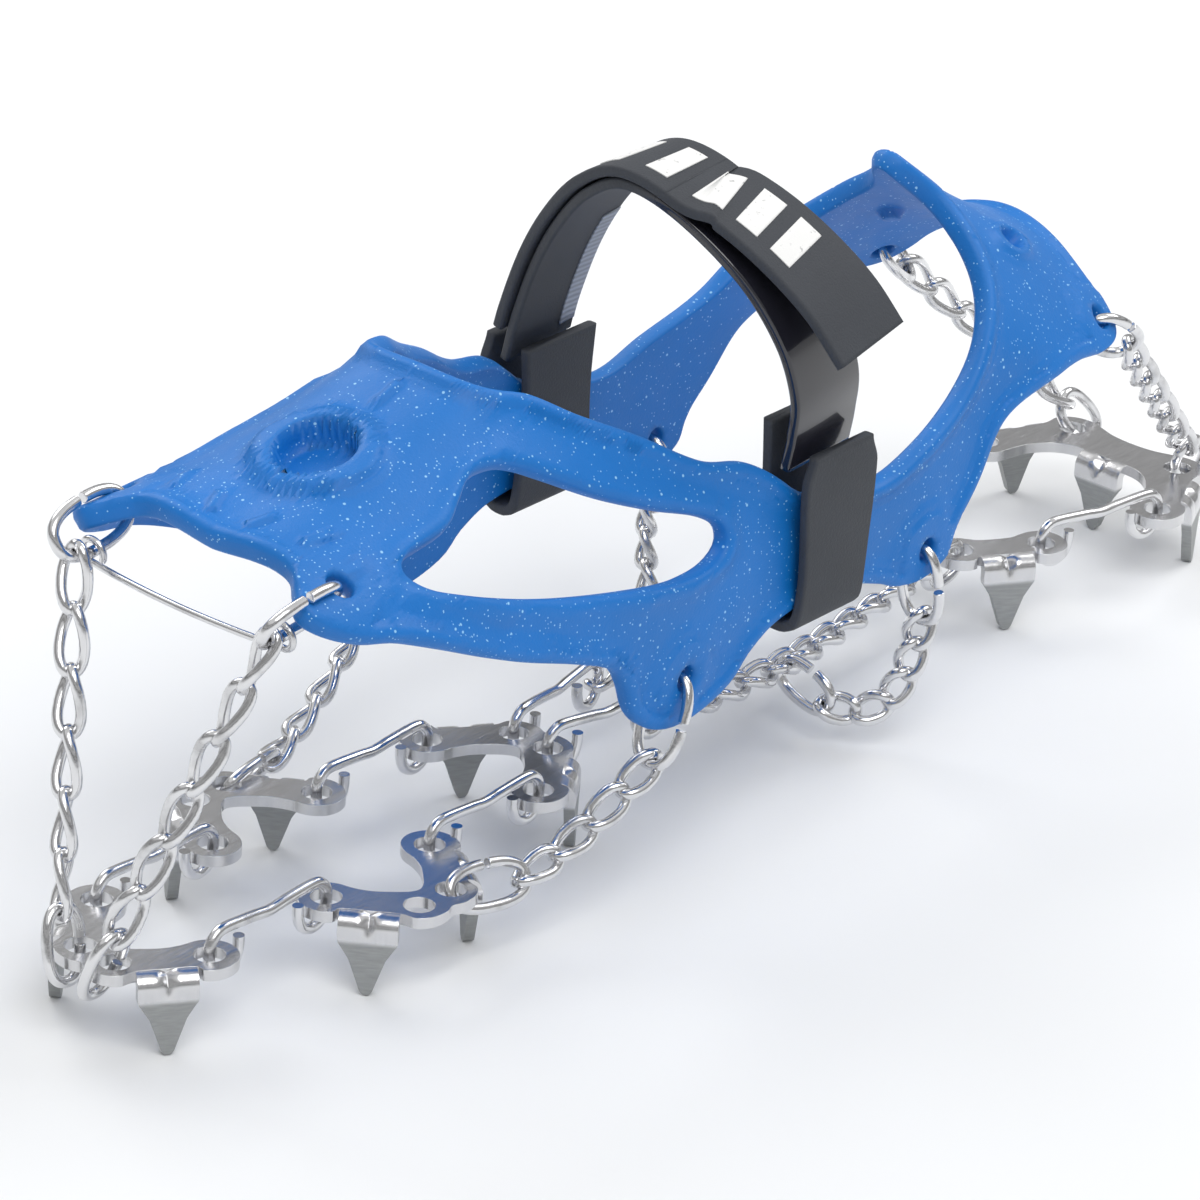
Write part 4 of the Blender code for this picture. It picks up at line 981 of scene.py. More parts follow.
def harness_spots():
    """Surface coordinates and triangles of the left half, with the points of its edges."""
    lower = edge_on_harness(LOWER_EDGE, EDGE_STEP)
    upper = edge_on_harness(UPPER_EDGE, EDGE_STEP)
    window = edge_on_harness(WINDOW, EDGE_STEP, True)
    heel_line = [(14.0, t) for t in np.linspace(0.0, upper[0][1], 24)[1:-1]]
    toe_line = [(0.0, t) for t in np.linspace(upper[-1][1], 0.0, 28)[1:-1]]
    outline = np.vstack([lower, heel_line, upper, toe_line])
    holes = [window, *(harness_oval(lobe, LOBE_HOLE_RADIUS) for lobe in LOBES)]
    flat_scale = np.array([STATION_SCALE, ACROSS_SCALE])
    flat_loops = [loop * flat_scale for loop in (outline, *holes)]
    points = np.vstack(flat_loops)
    rows = np.arange(0.0, 14.0 * STATION_SCALE, GRID_STEP)
    columns = np.arange(-0.45 * ACROSS_SCALE, 1.2 * ACROSS_SCALE, GRID_STEP)
    grid = np.array([(x + (k % 2) * GRID_STEP / 2, y) for x in rows for k, y in enumerate(columns)])
    fine = relief_spots(lower, upper, window) * flat_scale
    for extra, least in ((fine, LEAST_FINE_GAP), (grid, LEAST_GAP)):
        extra = extra[outside_holes(flat_loops, extra)]
        points = np.vstack([points, extra[gaps_to(tree_of(points), extra) > least]])
    flat, triangles = filled(points, flat_loops, 1e-6)
    edges = [(LOWER_EDGE, False), (UPPER_EDGE, False), (WINDOW, True)]
    dense = np.vstack([harness_points(edge_on_harness(edge, 0.3, closed)) for edge, closed in edges])
    return flat / flat_scale, triangles, dense


def harness_piece():
    """The whole elastic harness, the right half a mirror image of the left."""
    spots, triangles, edges = harness_spots()
    points = harness_points(spots)
    normals = harness_slopes(spots)[2]
    middle = np.abs(points[:, 1]) < 1e-3
    points[middle, 1] = 0.0
    normals[middle, 1] = 0.0
    normals /= np.linalg.norm(normals, axis=1)[:, None]
    rise, press = harness_relief(points, gaps_to(tree_of(edges), points))
    half = size("harness_thickness") / 2
    outer = points + normals * (half + rise)[:, None]
    inner = points - normals * (half + press)[:, None]
    count = len(points)
    right = np.where(middle, np.arange(count), count + np.arange(count))
    top = np.vstack([triangles, right[triangles][:, ::-1]])
    outer = np.vstack([outer, outer * (1, -1, 1)])
    inner = np.vstack([inner, inner * (1, -1, 1)])
    used, placed = np.unique(top, return_inverse=True)
    top = placed.reshape(top.shape)
    outer, inner = outer[used], inner[used]
    shift = len(used)
    top = [tuple(int(k) for k in face) for face in top]
    faces, rim = thick_faces(top, shift)
    follow = {a: b for a, b in rim}
    before = {b: a for a, b in rim}
    walls = {}
    wall_points = []
    for a, b in rim:
        run = unit(outer[follow[a]] - outer[before[a]])
        across = outer[a] - inner[a]
        out = unit(np.cross(run, across))
        walls[a] = (2 * shift + len(wall_points), 2 * shift + len(wall_points) + 1)
        wall_points.append(outer[a] - across * 0.25 + out * 0.32)
        wall_points.append(inner[a] + across * 0.18 + out * 0.32)
    for a, b in rim:
        (a1, a2), (b1, b2) = walls[a], walls[b]
        faces.extend(((b, a, a1, b1), (b1, a1, a2, b2), (b2, a2, a + shift, b + shift)))
    shape = np.vstack([outer, inner, np.array(wall_points)])
    add_piece("harness_moulding", shape, faces, flecked_elastomer(), "elastomer", ("harness",))


# Strap.


def band_outline(half_thick, half_width):
    """A flat section with round edges."""
    radius = half_thick * 0.55
    found = []
    for u, v, start in ((1, 1, 0), (-1, 1, 1), (-1, -1, 2), (1, -1, 3)):
        for step in range(5):
            turn = math.pi / 2 * (start + step / 4)
            found.append((u * (half_thick - radius) + radius * math.cos(turn),
                          v * (half_width - radius) + radius * math.sin(turn)))
    return found


def band(route, width, count, thick=None, widths=None):
    """Points and faces of a flat band along a route, its width lying along X."""
    points = smooth_route(route, count)
    outline = band_outline((thick or size("strap_thickness")) / 2, width / 2)
    binormals = [np.array([1.0, 0.0, 0.0])] * len(points)
    return swept(points, binormals, outline, False, widths)


def lifted(points, lift):
    """A strap route moved outwards by a lift."""
    tangents = tangents_of(points, False)
    return [p + unit(np.cross((1.0, 0.0, 0.0), t)) * lift for p, t in zip(points, tangents)]


def loop_round_arm(name, node, side, outer_top, inner_top, surface):
    """A band folded under one arm of the harness, open at the top where the strap goes in."""
    out, inn, low = KEEPER_OUTER_Y, KEEPER_INNER_Y, KEEPER_BOTTOM
    route = (
        (out, outer_top), (out, outer_top - 9.0), (out, 54.0), (out - 0.2, 46.0), (out - 0.9, low + 2.0),
        (out - 2.8, low + 0.3), ((out + inn) / 2, low), (inn + 2.8, low + 0.3), (inn + 0.9, low + 2.0),
        (inn + 0.2, 46.0), (inn, 54.0), (inn, 62.0), (inn, inner_top),
    )
    points = [(KEEPER_X, side * y, z) for y, z in route]
    share = np.linspace(0, 1, 90)
    widths = 0.97 + 0.05 * np.sin(share * 4 * math.pi + 0.6) - 0.16 * (1 - ease(share, 0.0, 0.07))
    add_piece(name, *band(points, KEEPER_WIDTH, 90, None, widths), surface, "strap", (node,))


def strap_pieces():
    """The loops round the arms, the arch, the run over it with its printed bars, and the free tail."""
    webbing = matte_webbing()
    loop_round_arm("keeper_band", "strap_keeper", -1, KEEPER_OUTER_TOP, KEEPER_INNER_TOP, webbing)
    loop_round_arm("far_band", "strap_far_loop", 1, FAR_LOOP_TOP, FAR_LOOP_TOP, webbing)
    add_piece("arch_band", *band(ARCH_ROUTE, ARCH_WIDTH, 130), strap_arch_finish(), "strap", ("strap_arch",))
    fine = smooth_route(ARCH_ROUTE, STRAP_SAMPLES + 1)
    thick = size("strap_thickness")
    raised = lifted(fine, thick + STRAP_GAP)
    first, last = int(COVER_FROM * 60) * 4, int(COVER_TO * 60) * 4
    cover = raised[first:last + 1]
    add_piece("cover_band", *band(cover, COVER_WIDTH, 100), webbing, "strap", ("strap_cover",))
    ink = white_print()
    marked = lifted(fine, thick * 1.5 + STRAP_GAP + 0.06)
    for index, share in enumerate((0.47, 0.53)):
        mark = int(share * STRAP_SAMPLES)
        name = f"printed_bar_{index + 1}"
        add_piece(name, *band(marked[mark:mark + 8], COVER_WIDTH * 0.62, 14, 0.24), ink, "strap", (), "strap")
    start = np.array(raised[first])
    run = unit(start - raised[first + 1])
    route = [start - run * TAIL_OVERLAP, start + run * TAIL_LEAD, *TAIL_ROUTE]
    shape = band(route, COVER_WIDTH, 60)
    tail = add_piece("tail_band", *shape, webbing, "strap", ("strap_tail",), "blended")
    bend = {"start": (start + MAKER_ZERO) * MM, "end": (start + run * 4 + MAKER_ZERO) * MM}
    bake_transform(tail)
    marked = lifted(smooth_route(route[::-1], 101), thick / 2 + 0.06)
    for index, mark in enumerate((82, 64, 46)):
        name = f"printed_bar_{index + 3}"
        shape = band(marked[mark:mark + 12], COVER_WIDTH * 0.62, 14, 0.24)
        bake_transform(add_piece(name, *shape, ink, "strap", (), "blended"))
    inner = lifted(fine, -thick / 2 - 0.12)[172:234]
    liner = [p + np.array([ARCH_WIDTH / 2 - 2.2, 0.0, 0.0]) for p in inner]
    add_piece("pale_tape", *band(liner, 3.6, 50, 0.3), pale_lining(), "strap", (), "strap")


# Plates.


def flat_plate(outline, holes, place):
    """Points and faces of a flat plate with round holes, carried to its place."""
    thick = size("plate_thickness")
    outline = smooth_route(outline, 180, True)
    turns = 2 * math.pi * np.arange(HOLE_SIDES)[:, None] / HOLE_SIDES
    circle = np.hstack([np.cos(turns), np.sin(turns)]) * PLATE_HOLE_RADIUS
    loops = [outline, *(circle + hole for hole in holes)]
    flat, triangles = filled(np.vstack(loops), loops, 1e-9)
    count = len(flat)
    points = [place(x, y, PLATE_TOP) for x, y in flat] + [place(x, y, PLATE_TOP - thick) for x, y in flat]
    faces, edge = thick_faces([tuple(int(k) for k in face) for face in triangles], count)
    return points, faces + [(b, a, a + count, b + count) for a, b in edge]


def spike(at, outward, place):
    """Points and faces of a pointed tab that leaves a plate's edge, turns down and has a pressed rib."""
    centre = PLATE_TOP - size("plate_thickness") / 2
    outward = unit(outward)
    sideways = np.array([-outward[1], outward[0]])
    path = [(SPIKE_OUT - 1.6, centre), (SPIKE_OUT - 0.6, centre), (SPIKE_OUT, centre)]
    for step in range(1, 13):
        turn = math.pi / 2 * step / 12
        path.append((SPIKE_OUT + SPIKE_BEND * math.sin(turn), centre - SPIKE_BEND * (1 - math.cos(turn))))
    down = centre - SPIKE_BEND
    wide, tip = SPIKE_WIDTH / 2, SPIKE_TIP_WIDTH / 2
    widths = [wide] * len(path)
    heights = [down - 0.45 * k for k in range(1, 5)]
    path.extend((SPIKE_OUT + SPIKE_BEND, height) for height in heights)
    widths.extend([wide] * len(heights))
    taper = ((down - 2.3, wide - 0.2), (down - 2.8, wide - 0.55), (down - 5.0, (wide + tip) / 2 + 0.2),
             (0.7, tip + 0.35), (0.2, tip), (0.0, tip - 0.25))
    for height, width in taper:
        path.append((SPIKE_OUT + SPIKE_BEND, height))
        widths.append(width)
    path = np.array(path)
    corner = np.array([SPIKE_OUT + SPIKE_BEND * 0.75, centre - SPIKE_BEND * 0.3])
    half = SPIKE_THICK / 2
    shares = np.linspace(-1, 1, 17)
    points = []
    for index, ((out, height), width) in enumerate(zip(path, widths)):
        run = unit(path[min(index + 1, len(path) - 1)] - path[max(index - 1, 0)])
        across = np.array([-run[1], run[0]])
        from_bend = np.hypot(out - corner[0], height - corner[1])
        ring = [(share, 1) for share in shares] + [(share, -1) for share in reversed(shares)]
        for share, face in ring:
            reach = (share * width / RIB_HALF_WIDTH) ** 2 + (from_bend / RIB_HALF_LENGTH) ** 2
            proud = half * face - (math.exp(-reach) * RIB_DEPTH if face > 0 else 0.0)
            flat = np.array(at) + outward * (out + across[0] * proud) + sideways * share * width
            points.append(place(flat[0], flat[1], height + across[1] * proud))
    sides = 2 * len(shares)
    faces = [tuple(range(sides))]
    for ring in range(len(path) - 1):
        for side in range(sides):
            a = ring * sides + side
            b = ring * sides + (side + 1) % sides
            faces.append((b, a, a + sides, b + sides))
    faces.append(tuple(reversed(range(len(points) - sides, len(points)))))
    return points, faces


def plate(node, outline, holes, spikes, place, surface):
    """A spiked plate."""
    tabs = [spike(at, outward, place) for at, outward in spikes]
    shape = merged([flat_plate(outline, holes, place), *tabs])
    name = node.replace("plate_", "spiked_plate_")
    bevelled(add_piece(name, *shape, surface, "plate", (node,), sharp=PLATE_SHARP), 0.28)


def plate_pieces():
    """The seven plates under the sole."""
    surface = plate_steel()
    outline = mirrored(V_PLATE_HALF)
    holes = both_sides(V_PLATE_HOLES)
    at, out = V_PLATE_SPIKE
    spikes = [((at[0], side * at[1]), (out[0], side * out[1])) for side in (1, -1)]
    places = (
        ("plate_front", turned_place(FRONT_PLATE_X, 0.0, math.pi)),
        ("plate_left", turned_place(SIDE_PLATE_X, -SIDE_PLATE_Y, -math.pi / 2)),
        ("plate_right", turned_place(SIDE_PLATE_X, SIDE_PLATE_Y, math.pi / 2)),
        ("plate_middle", turned_place(MIDDLE_PLATE_X, 0.0, 0.0)),
    )
    for node, place in places:
        plate(node, outline, holes, spikes, place, surface)
    at, out = HEEL_PLATE_SPIKE
    spikes = [((at[0], side * at[1]), (out[0], side * out[1])) for side in (1, -1)]
    spikes.append(HEEL_PLATE_FRONT_SPIKE)
    heel_place = turned_place(HEEL_PLATE_X, 0.0, 0.0)
    plate("plate_heel", mirrored(HEEL_PLATE_HALF), both_sides(HEEL_PLATE_HOLES), spikes, heel_place, surface)
    left = [(-x, y) for x, y in reversed(BAR_PLATE_HALF) if x > 0]
    bar = list(reversed([*BAR_PLATE_HALF, *left]))
    holes = ((-BAR_PLATE_HOLE, 0.0), (BAR_PLATE_HOLE, 0.0))
    for node, side in (("plate_rear_left", -1), ("plate_rear_right", 1)):
        outline = bar if side > 0 else [(x, -y) for x, y in reversed(bar)]
        place = turned_place(BAR_PLATE_AT[0], side * BAR_PLATE_AT[1], side * BAR_PLATE_TURN)
        plate(node, outline, holes, [((0.0, 0.0), (0.0, side * 1.0))], place, surface)


# Wire: hooks, rings, chain.


def hook(name, start, end, surface):
    """A wire hook between two plate holes, its body above the plates and both ends curled under."""
    start = np.array([*start, PLATE_TOP], float)
    end = np.array([*end, PLATE_TOP], float)
    along = unit(end - start)
    length = np.linalg.norm(end - start)
    curl = (
        (6.6, 0.9), (6.5, -1.2), (5.6, -3.3), (3.6, -4.4), (1.6, -4.0), (0.4, -2.6), (-0.1, -0.8),
        (0.0, 1.2), (0.9, 2.6), (3.0, 3.5),
    )
    body = ((length * 0.36, 3.1), (length * 0.5, 2.7), (length * 0.64, 3.1))
    route = [*curl, *body, *((length - u, z) for u, z in reversed(curl))]
    points = [start + along * u + np.array([0.0, 0.0, z]) for u, z in route]
    sideways = np.cross(along, (0.0, 0.0, 1.0))
    shape = wire(smooth_route(points, HOOK_POINTS), size("hook_wire"), WIRE_SIDES, sideways)
    add_piece(name.replace("hook_", "curled_hook_"), *shape, surface, "wire", (name,), sharp=WIRE_SHARP)


def split_ring(node, start, end, plane_normal, half_width, surface):
    """An oval wire ring with a narrow cut, its wire centred on the start and end spots."""
    start, end = np.array(start, float), np.array(end, float)
    half_length = np.linalg.norm(end - start) / 2
    cut = RING_CUT / (4 * half_length + 2 * half_width)
    plane = np.asarray(plane_normal, float)
    middle = (start + end) / 2
    points, normals = oval_loop(middle, end - start, plane, half_length, half_width, RING_POINTS, cut)
    shape = swept(points, normals, round_outline(size("ring_wire"), WIRE_SIDES), False)
    name = node.replace("ring_", "split_ring_")
    bevelled(add_piece(name, *shape, surface, "wire", (node,), sharp=WIRE_SHARP), 0.12)


def chain(node, hand, route, links, first_plane, last_plane, surface):
    """A run of twisted links along a route, whose ends face the given ways; a hand of -1 mirrors it."""
    dense = smooth_route(route, 120)
    runs = np.concatenate([[0], np.cumsum(np.linalg.norm(np.diff(dense, axis=0), axis=1))])
    overlap = 1.4 * CHAIN_RADIUS
    pitch = (runs[-1] - overlap) / links
    half_length = (pitch + overlap) / 2

    def at(distance):
        return np.array([np.interp(distance, runs, dense[:, k]) for k in range(3)])

    def turn_between(first, second, axis):
        first = unit(first - np.dot(first, axis) * axis)
        second = unit(second - np.dot(second, axis) * axis)
        return math.atan2(np.dot(np.cross(first, second), axis), np.dot(first, second))

    centres = [at(half_length + pitch * k) for k in range(links)]
    headings = [unit(at(half_length + pitch * k + 1) - at(half_length + pitch * k - 1)) for k in range(links)]
    normal = np.asarray(first_plane, float)
    carried = []
    for heading in headings:
        normal = unit(normal - np.dot(normal, heading) * heading)
        carried.append(normal)
    drift = hand * turn_between(carried[-1], np.asarray(last_plane, float), headings[-1])
    drift -= math.pi / 2
    least = -math.pi / 2 - LEAST_DRIFT_MARGIN
    drift = (drift - least) % math.pi + least
    parts = []
    planes = []
    section = round_outline(size("chain_wire"), 12)
    for k in range(links):
        heading = headings[k]
        lean = hand * (math.pi / 4 + drift * (k + 0.5) / links)
        across = np.cross(heading, carried[k])
        plane = math.cos(lean) * carried[k] + math.sin(lean) * across
        points, normals = oval_loop(
            centres[k], heading, plane, half_length, LINK_HALF_WIDTH, LINK_POINTS, 0.0, hand * math.pi / 2
        )
        parts.append(swept(points, normals, section, True))
        planes.append(plane)
    add_piece(node.replace("chain_", "twisted_chain_"), *merged(parts), surface, "wire", (node,))
    return centres, planes


def held_hole(lobe, side):
    """The centre and outward normal of a lobe hole on one side."""
    return mirror_y(harness_points([lobe])[0], side), mirror_y(harness_slopes([lobe])[2][0], side)


def top_ring(label, side, lobe, end, surface):
    """An oval ring through a harness lobe; gives its free tip and the direction of the wire there."""
    hole, normal = held_hole(lobe, side)
    end = mirror_y(end, side)
    plane = np.cross(unit(end - hole), normal)
    split_ring(f"ring_{label}_{SIDE_NAMES[side]}", hole, end, plane, TOP_RING_HALF_WIDTH, surface)
    return end, np.cross(plane, unit(end - hole))


def plate_ring(label, side, hole, toward, outward, lift, surface):
    """An oval ring through a plate hole and round the plate's edge, leaning towards the chain."""
    hole, toward, outward = (mirror_y(p, side) for p in (hole, toward, outward))
    lean = unit(toward - hole)
    out = unit(outward - np.dot(outward, lean) * lean)
    centre = hole + RING_HALF_WIDTH * out + lift * lean
    top = centre + PLATE_RING_HALF_LENGTH * lean
    bottom = centre - PLATE_RING_HALF_LENGTH * lean
    plane = np.cross(lean, out)
    split_ring(f"end_ring_{label}_{SIDE_NAMES[side]}", top, bottom, plane, RING_HALF_WIDTH, surface)
    return top, out


def end_to_end_ring(label, side, start, end, upright, surface):
    """An oval ring from one tip to the other, its plane holding the upright direction."""
    start, end, upright = (mirror_y(p, side) for p in (start, end, upright))
    plane = np.cross(unit(end - start), upright)
    split_ring(f"end_ring_{label}_{SIDE_NAMES[side]}", start, end, plane, RING_HALF_WIDTH, surface)
    return end, np.cross(plane, unit(end - start))


def chain_between(label, side, top, bottom, route, links, surface):
    """A chain whose end links cross the rings that hold them."""
    (start, start_wire), (end, end_wire) = top, bottom
    points = [start, *(mirror_y(p, side) for p in route), end]
    reach = RING_RADIUS + CHAIN_RADIUS + WIRE_GAP
    points[0] = start - unit(points[1] - start) * reach
    points[-1] = end + unit(end - points[-2]) * reach
    return chain(f"chain_{label}_{SIDE_NAMES[side]}", -side, points, links, start_wire, end_wire, surface)


def toe_ring_strand(side, share):
    """A spot on the lower strand of a toe ring, with the wire's direction and the way down from the ring."""
    hole, normal = held_hole(TOE_LOBE, side)
    end = mirror_y(TOE_RING_END, side)
    along = unit(end - hole)
    down = -unit(normal - np.dot(normal, along) * along)
    half = np.linalg.norm(end - hole) / 2
    cosine = share ** 1.25
    out = (1 - cosine ** 2) ** 0.4 * TOP_RING_HALF_WIDTH
    spot = (hole + end) / 2 + along * half * share + down * out
    return spot, along, down


def toe_chain(side, surface):
    """The chain from a toe lobe to the front plate."""
    top_ring("toe", side, TOE_LOBE, TOE_RING_END, surface)
    top = toe_ring_strand(side, TOE_CHAIN_SHARE)[:2]
    hole = (FRONT_PLATE_X - V_PLATE_HOLES[0][0], -V_PLATE_HOLES[0][1], PLATE_TOP - 1)
    bottom = plate_ring("toe", side, hole, TOE_RING_END, (-1.0, 0.0, 0.0), 1.6, surface)
    chain_between("toe", side, top, bottom, [], 6, surface)


def middle_chain(side, surface):
    """The chain from a middle lobe to a side plate."""
    top = top_ring("middle", side, MIDDLE_LOBE, MIDDLE_RING_END, surface)
    start, end = MIDDLE_END_RING
    bottom = end_to_end_ring("middle", side, start, end, (0.0, 0.5, 0.85), surface)
    chain_between("middle", side, top, bottom, MIDDLE_ROUTE, 4, surface)


def heel_chain(side, surface):
    """The chain from a heel lobe to the heel plate."""
    top = top_ring("heel", side, HEEL_LOBE, HEEL_RING_END, surface)
    hole = (HEEL_PLATE_X + HEEL_PLATE_HOLES[0][0], -HEEL_PLATE_HOLES[0][1], PLATE_TOP - 1)
    bottom = plate_ring("heel", side, hole, HEEL_RING_END, (1.0, 0.0, 0.0), 0.0, surface)
    chain_between("heel", side, top, bottom, [], 6, surface)


def long_and_rear_chains(side, surface):
    """The chain along the sole, and the slack one that joins it to a rear lobe."""
    tip = (BAR_PLATE_AT[0] - BAR_PLATE_HOLE * math.cos(BAR_PLATE_TURN),
           -BAR_PLATE_AT[1] + BAR_PLATE_HOLE * math.sin(BAR_PLATE_TURN), PLATE_TOP - 1)
    end = (tip[0] - 10.5, tip[1] - 0.4, tip[2] - 0.4)
    bottom = end_to_end_ring("sole", side, tip, end, (0.0, 0.0, 1.0), surface)
    start = mirror_y((LONG_HOOK_END[0] + 0.3, LONG_HOOK_END[1], PLATE_TOP - 1.4), side)
    upright = np.array([0.0, 0.0, 1.0])
    centres, planes = chain_between("sole", side, (start, upright), bottom, SOLE_ROUTE, 11, surface)
    centre, plane = centres[JOINED_LINK], planes[JOINED_LINK]
    end = mirror_y(REAR_END_RING_END, side)
    ring_plane = np.cross(unit(end - centre), plane)
    split_ring(f"end_ring_rear_{SIDE_NAMES[side]}", centre, end, ring_plane, REAR_RING_HALF_WIDTH, surface)
    tip_wire = np.cross(ring_plane, unit(end - centre))
    top = top_ring("rear", side, REAR_LOBE, REAR_RING_END, surface)
    chain_between("rear", side, top, (end, tip_wire), REAR_ROUTE, 5, surface)


def all_hooks(surface):
    """The hooks that join the plates to each other and to the long chains."""
    arm = V_PLATE_HOLES[1][1]
    for side in (-1, 1):
        name = SIDE_NAMES[side]
        y = side * arm
        y_side = side * SIDE_PLATE_Y
        hook(f"hook_front_{name}", (FRONT_PLATE_X, y), (SIDE_PLATE_X - arm, y_side), surface)
        hook(f"hook_side_{name}", (SIDE_PLATE_X + arm, y_side), (MIDDLE_PLATE_X, y), surface)
        vertex = (MIDDLE_PLATE_X + V_PLATE_HOLES[0][0], side * V_PLATE_HOLES[0][1])
        hook(f"hook_middle_{name}", vertex, (LONG_HOOK_END[0], -side * LONG_HOOK_END[1]), surface)
        rear = (BAR_PLATE_AT[0] + BAR_PLATE_HOLE * math.cos(BAR_PLATE_TURN),
                side * (BAR_PLATE_AT[1] + BAR_PLATE_HOLE * math.sin(BAR_PLATE_TURN)))
        heel = (HEEL_PLATE_X, side * HEEL_PLATE_HOLES[1][1])
        hook(f"hook_heel_{name}", rear, heel, surface)


def front_bar(surface):
    """The wire across the toe, with an eye round the lower run of each toe ring."""
    centre, along, _ = toe_ring_strand(-1, FRONT_BAR_SHARE)
    across = unit(np.array([0.0, 1.0, 0.0]) - along[1] * along)
    up = np.cross(across, along)
    if up[2] < 0:
        up = -up
    eye = []
    for step in range(36):
        turn = -math.pi / 2 - math.radians(300) * (1 - step / 35)
        eye.append(centre + FRONT_BAR_EYE * (math.cos(turn) * across + math.sin(turn) * up))
    other = [p * (1, -1, 1) for p in reversed(eye)]
    middle = []
    for share in np.linspace(0.9, -0.9, 13):
        bow = FRONT_BAR_BOW * (1 - share * share)
        middle.append(eye[-1] * (1, share, 1) - np.array([bow, 0, 0]))
    points, faces = wire(np.array(eye + middle + other), FRONT_BAR_WIRE, WIRE_SIDES, along)
    add_piece("toe_bar", points, faces, surface, "wire", ("front_bar",), sharp=WIRE_SHARP)


# Studio, in metres and degrees.
CAMERA_PLACE = (-0.7467, -0.5876, 0.4993)
CAMERA_YAW, CAMERA_PITCH, CAMERA_ROLL = 39.021, -26.328, 3.31
CAMERA_LENS = 186.5
SOFT_BOXES = (
    ("key_box", (-0.5, -0.7, 1.3), 0.9, 9.0),
    ("fill_box", (0.9, -0.2, 1.0), 0.7, 5.0),
    ("back_box", (0.2, 1.1, 0.9), 0.8, 6.0),
)
LIGHT_AIM = (0.0, 0.0, 0.05)
SURROUND_STOPS = ((0.0, 0.35), (0.16, 0.06), (0.3, 0.75), (0.5, 0.25), (0.62, 1.0), (1.0, 0.9))
SURROUND_STRENGTH = 0.75


def turn_of(side, top, back):
    """The turn that brings X, Y and Z to three directions."""
    return Matrix([tuple(row) for row in np.stack([side, top, back], axis=1)])


def studio_camera():
    """The camera, a long way off and looking down on the cleat."""
    yaw, pitch, roll = (math.radians(angle) for angle in (CAMERA_YAW, CAMERA_PITCH, CAMERA_ROLL))
    forward = np.array([math.cos(pitch) * math.cos(yaw), math.cos(pitch) * math.sin(yaw), math.sin(pitch)])
    right = unit(np.cross(forward, (0.0, 0.0, 1.0)))
    up = np.cross(right, forward)
    level = math.cos(roll) * right + math.sin(roll) * up
    upright = math.cos(roll) * up - math.sin(roll) * right
    data = bpy.data.cameras.new("studio_camera")
    data.lens = CAMERA_LENS
    data.sensor_width = 36.0
    camera = bpy.data.objects.new("studio_camera", data)
    bpy.context.collection.objects.link(camera)
    camera.matrix_world = Matrix.Translation(CAMERA_PLACE) @ turn_of(level, upright, -forward).to_4x4()
    bpy.context.scene.camera = camera


def soft_light(name, place, width, power):
    """A square soft box that faces the cleat."""
    data = bpy.data.lights.new(name, "AREA")
    data.size = width
    data.energy = power
    lamp = bpy.data.objects.new(name, data)
    bpy.context.collection.objects.link(lamp)
    lamp.location = place
    lamp.rotation_mode = "QUATERNION"
    back = unit(np.array(place) - LIGHT_AIM)
    side = unit(np.cross((0.0, 1.0, 0.0), back))
    lamp.rotation_quaternion = turn_of(side, np.cross(back, side), back).to_quaternion()


def studio_surround():
    """A surround in pale and dark bands, so that polished wire shows its shape."""
    world = bpy.data.worlds.new("studio_surround")
    bpy.context.scene.world = world
    world.use_nodes = True
    sheet = NodeSheet(world.node_tree)
    shader = sheet.tree.nodes["Background"]
    height = sheet.node("ShaderNodeSeparateXYZ", None, {0: sheet.node("ShaderNodeTexCoord")}, "Z")
    bands = sheet.node("ShaderNodeValToRGB", {"stops": SURROUND_STOPS}, {0: height})
    sheet.feed(shader.inputs["Color"], bands)
    shader.inputs["Strength"].default_value = SURROUND_STRENGTH


def studio_ground():
    """A wide pale floor that rises at its rim."""
    steps = 48
    points, faces = [(0.0, 0.0, 0.0)], []
    for radius, height in ((600.0, 0.0), (2200.0, 0.0), (3000.0, 120.0), (3400.0, 500.0)):
        turns = (2 * math.pi * k / steps for k in range(steps))
        points.extend((radius * math.cos(turn), radius * math.sin(turn), height) for turn in turns)
    faces.extend((0, 1 + k, 1 + (k + 1) % steps) for k in range(steps))
    for ring in range(3):
        for k in range(steps):
            a, b = 1 + ring * steps + k, 1 + ring * steps + (k + 1) % steps
            faces.append((a, a + steps, b + steps, b))
    mesh = bpy.data.meshes.new("studio_ground")
    mesh.from_pydata([tuple(c * MM for c in p) for p in points], [], faces)
    mesh.materials.append(studio_floor())
    ground = bpy.data.objects.new("studio_ground", mesh)
    ground.location = (0.0, 0.0, -0.0002)
    bpy.context.collection.objects.link(ground)


# Operators.


class CLEAT_OT_harness(bpy.types.Operator):
    """Build the moulded elastic harness"""

    bl_idname = "cleat.harness"
    bl_label = "Harness"

    def execute(self, context):
        harness_piece()
        return {"FINISHED"}


class CLEAT_OT_strap(bpy.types.Operator):
    """Build the strap, its loops, its free tail and its printed bars"""

    bl_idname = "cleat.strap"
    bl_label = "Strap"

    def execute(self, context):
        strap_pieces()
        return {"FINISHED"}


class CLEAT_OT_plates(bpy.types.Operator):
    """Build the seven spiked plates"""

    bl_idname = "cleat.plates"
    bl_label = "Spiked Plates"

    def execute(self, context):
        plate_pieces()
        return {"FINISHED"}


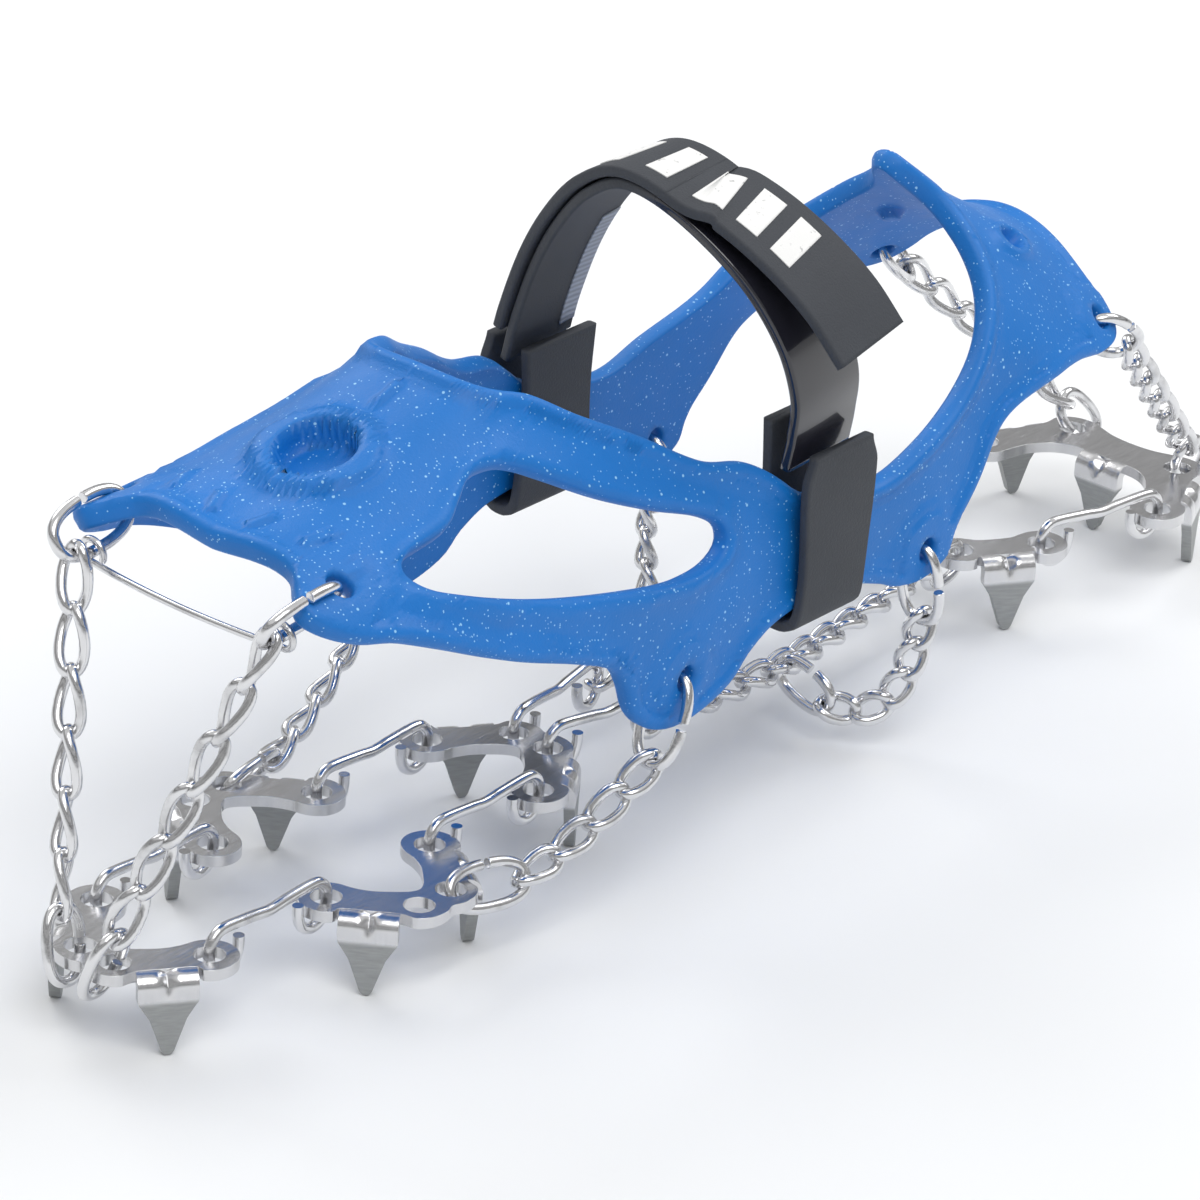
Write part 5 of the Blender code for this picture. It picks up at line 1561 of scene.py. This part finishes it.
class CLEAT_OT_wire(bpy.types.Operator):
    """Build the hooks, the toe bar, the split rings and the chains"""

    bl_idname = "cleat.wire"
    bl_label = "Hooks, Rings and Chains"

    def execute(self, context):
        surface = bright_wire()
        all_hooks(surface)
        front_bar(surface)
        for side in (-1, 1):
            toe_chain(side, surface)
            middle_chain(side, surface)
            heel_chain(side, surface)
            long_and_rear_chains(side, surface)
        return {"FINISHED"}


class CLEAT_OT_studio(bpy.types.Operator):
    """Set up the floor, the soft light and the camera"""

    bl_idname = "cleat.studio"
    bl_label = "Studio"

    def execute(self, context):
        studio_ground()
        studio_surround()
        for box in SOFT_BOXES:
            soft_light(*box)
        studio_camera()
        context.scene.view_settings.view_transform = "Standard"
        return {"FINISHED"}


class CLEAT_PT_panel(bpy.types.Panel):
    """Settings and steps for the cleat"""

    bl_idname = "CLEAT_PT_panel"
    bl_label = "Slip-on Ice Cleat"
    bl_space_type = "VIEW_3D"
    bl_region_type = "UI"
    bl_category = "Cleat"

    def draw(self, context):
        for settings in (context.scene.cleat_sizes, context.scene.cleat_colours):
            for key in settings.bl_rna.properties.keys():
                if key not in ("rna_type", "name"):
                    self.layout.prop(settings, key)
        for step in STEPS:
            self.layout.operator(step.bl_idname)


STEPS = (CLEAT_OT_harness, CLEAT_OT_strap, CLEAT_OT_plates, CLEAT_OT_wire, CLEAT_OT_studio)
CLASSES = (CleatSizes, CleatColours, *STEPS, CLEAT_PT_panel)


def register():
    """Adds the settings, the operators and the panel."""
    for item in CLASSES:
        bpy.utils.register_class(item)
    bpy.types.Scene.cleat_sizes = bpy.props.PointerProperty(type=CleatSizes)
    bpy.types.Scene.cleat_colours = bpy.props.PointerProperty(type=CleatColours)


def unregister():
    """Takes them away again."""
    del bpy.types.Scene.cleat_colours
    del bpy.types.Scene.cleat_sizes
    for item in reversed(CLASSES):
        bpy.utils.unregister_class(item)


def main():
    """Builds the cleat and its studio."""
    register()
    bpy.ops.cleat.harness()
    bpy.ops.cleat.strap()
    bpy.ops.cleat.plates()
    bpy.ops.cleat.wire()
    bpy.ops.cleat.studio()


if __name__ == "__main__":
    main()
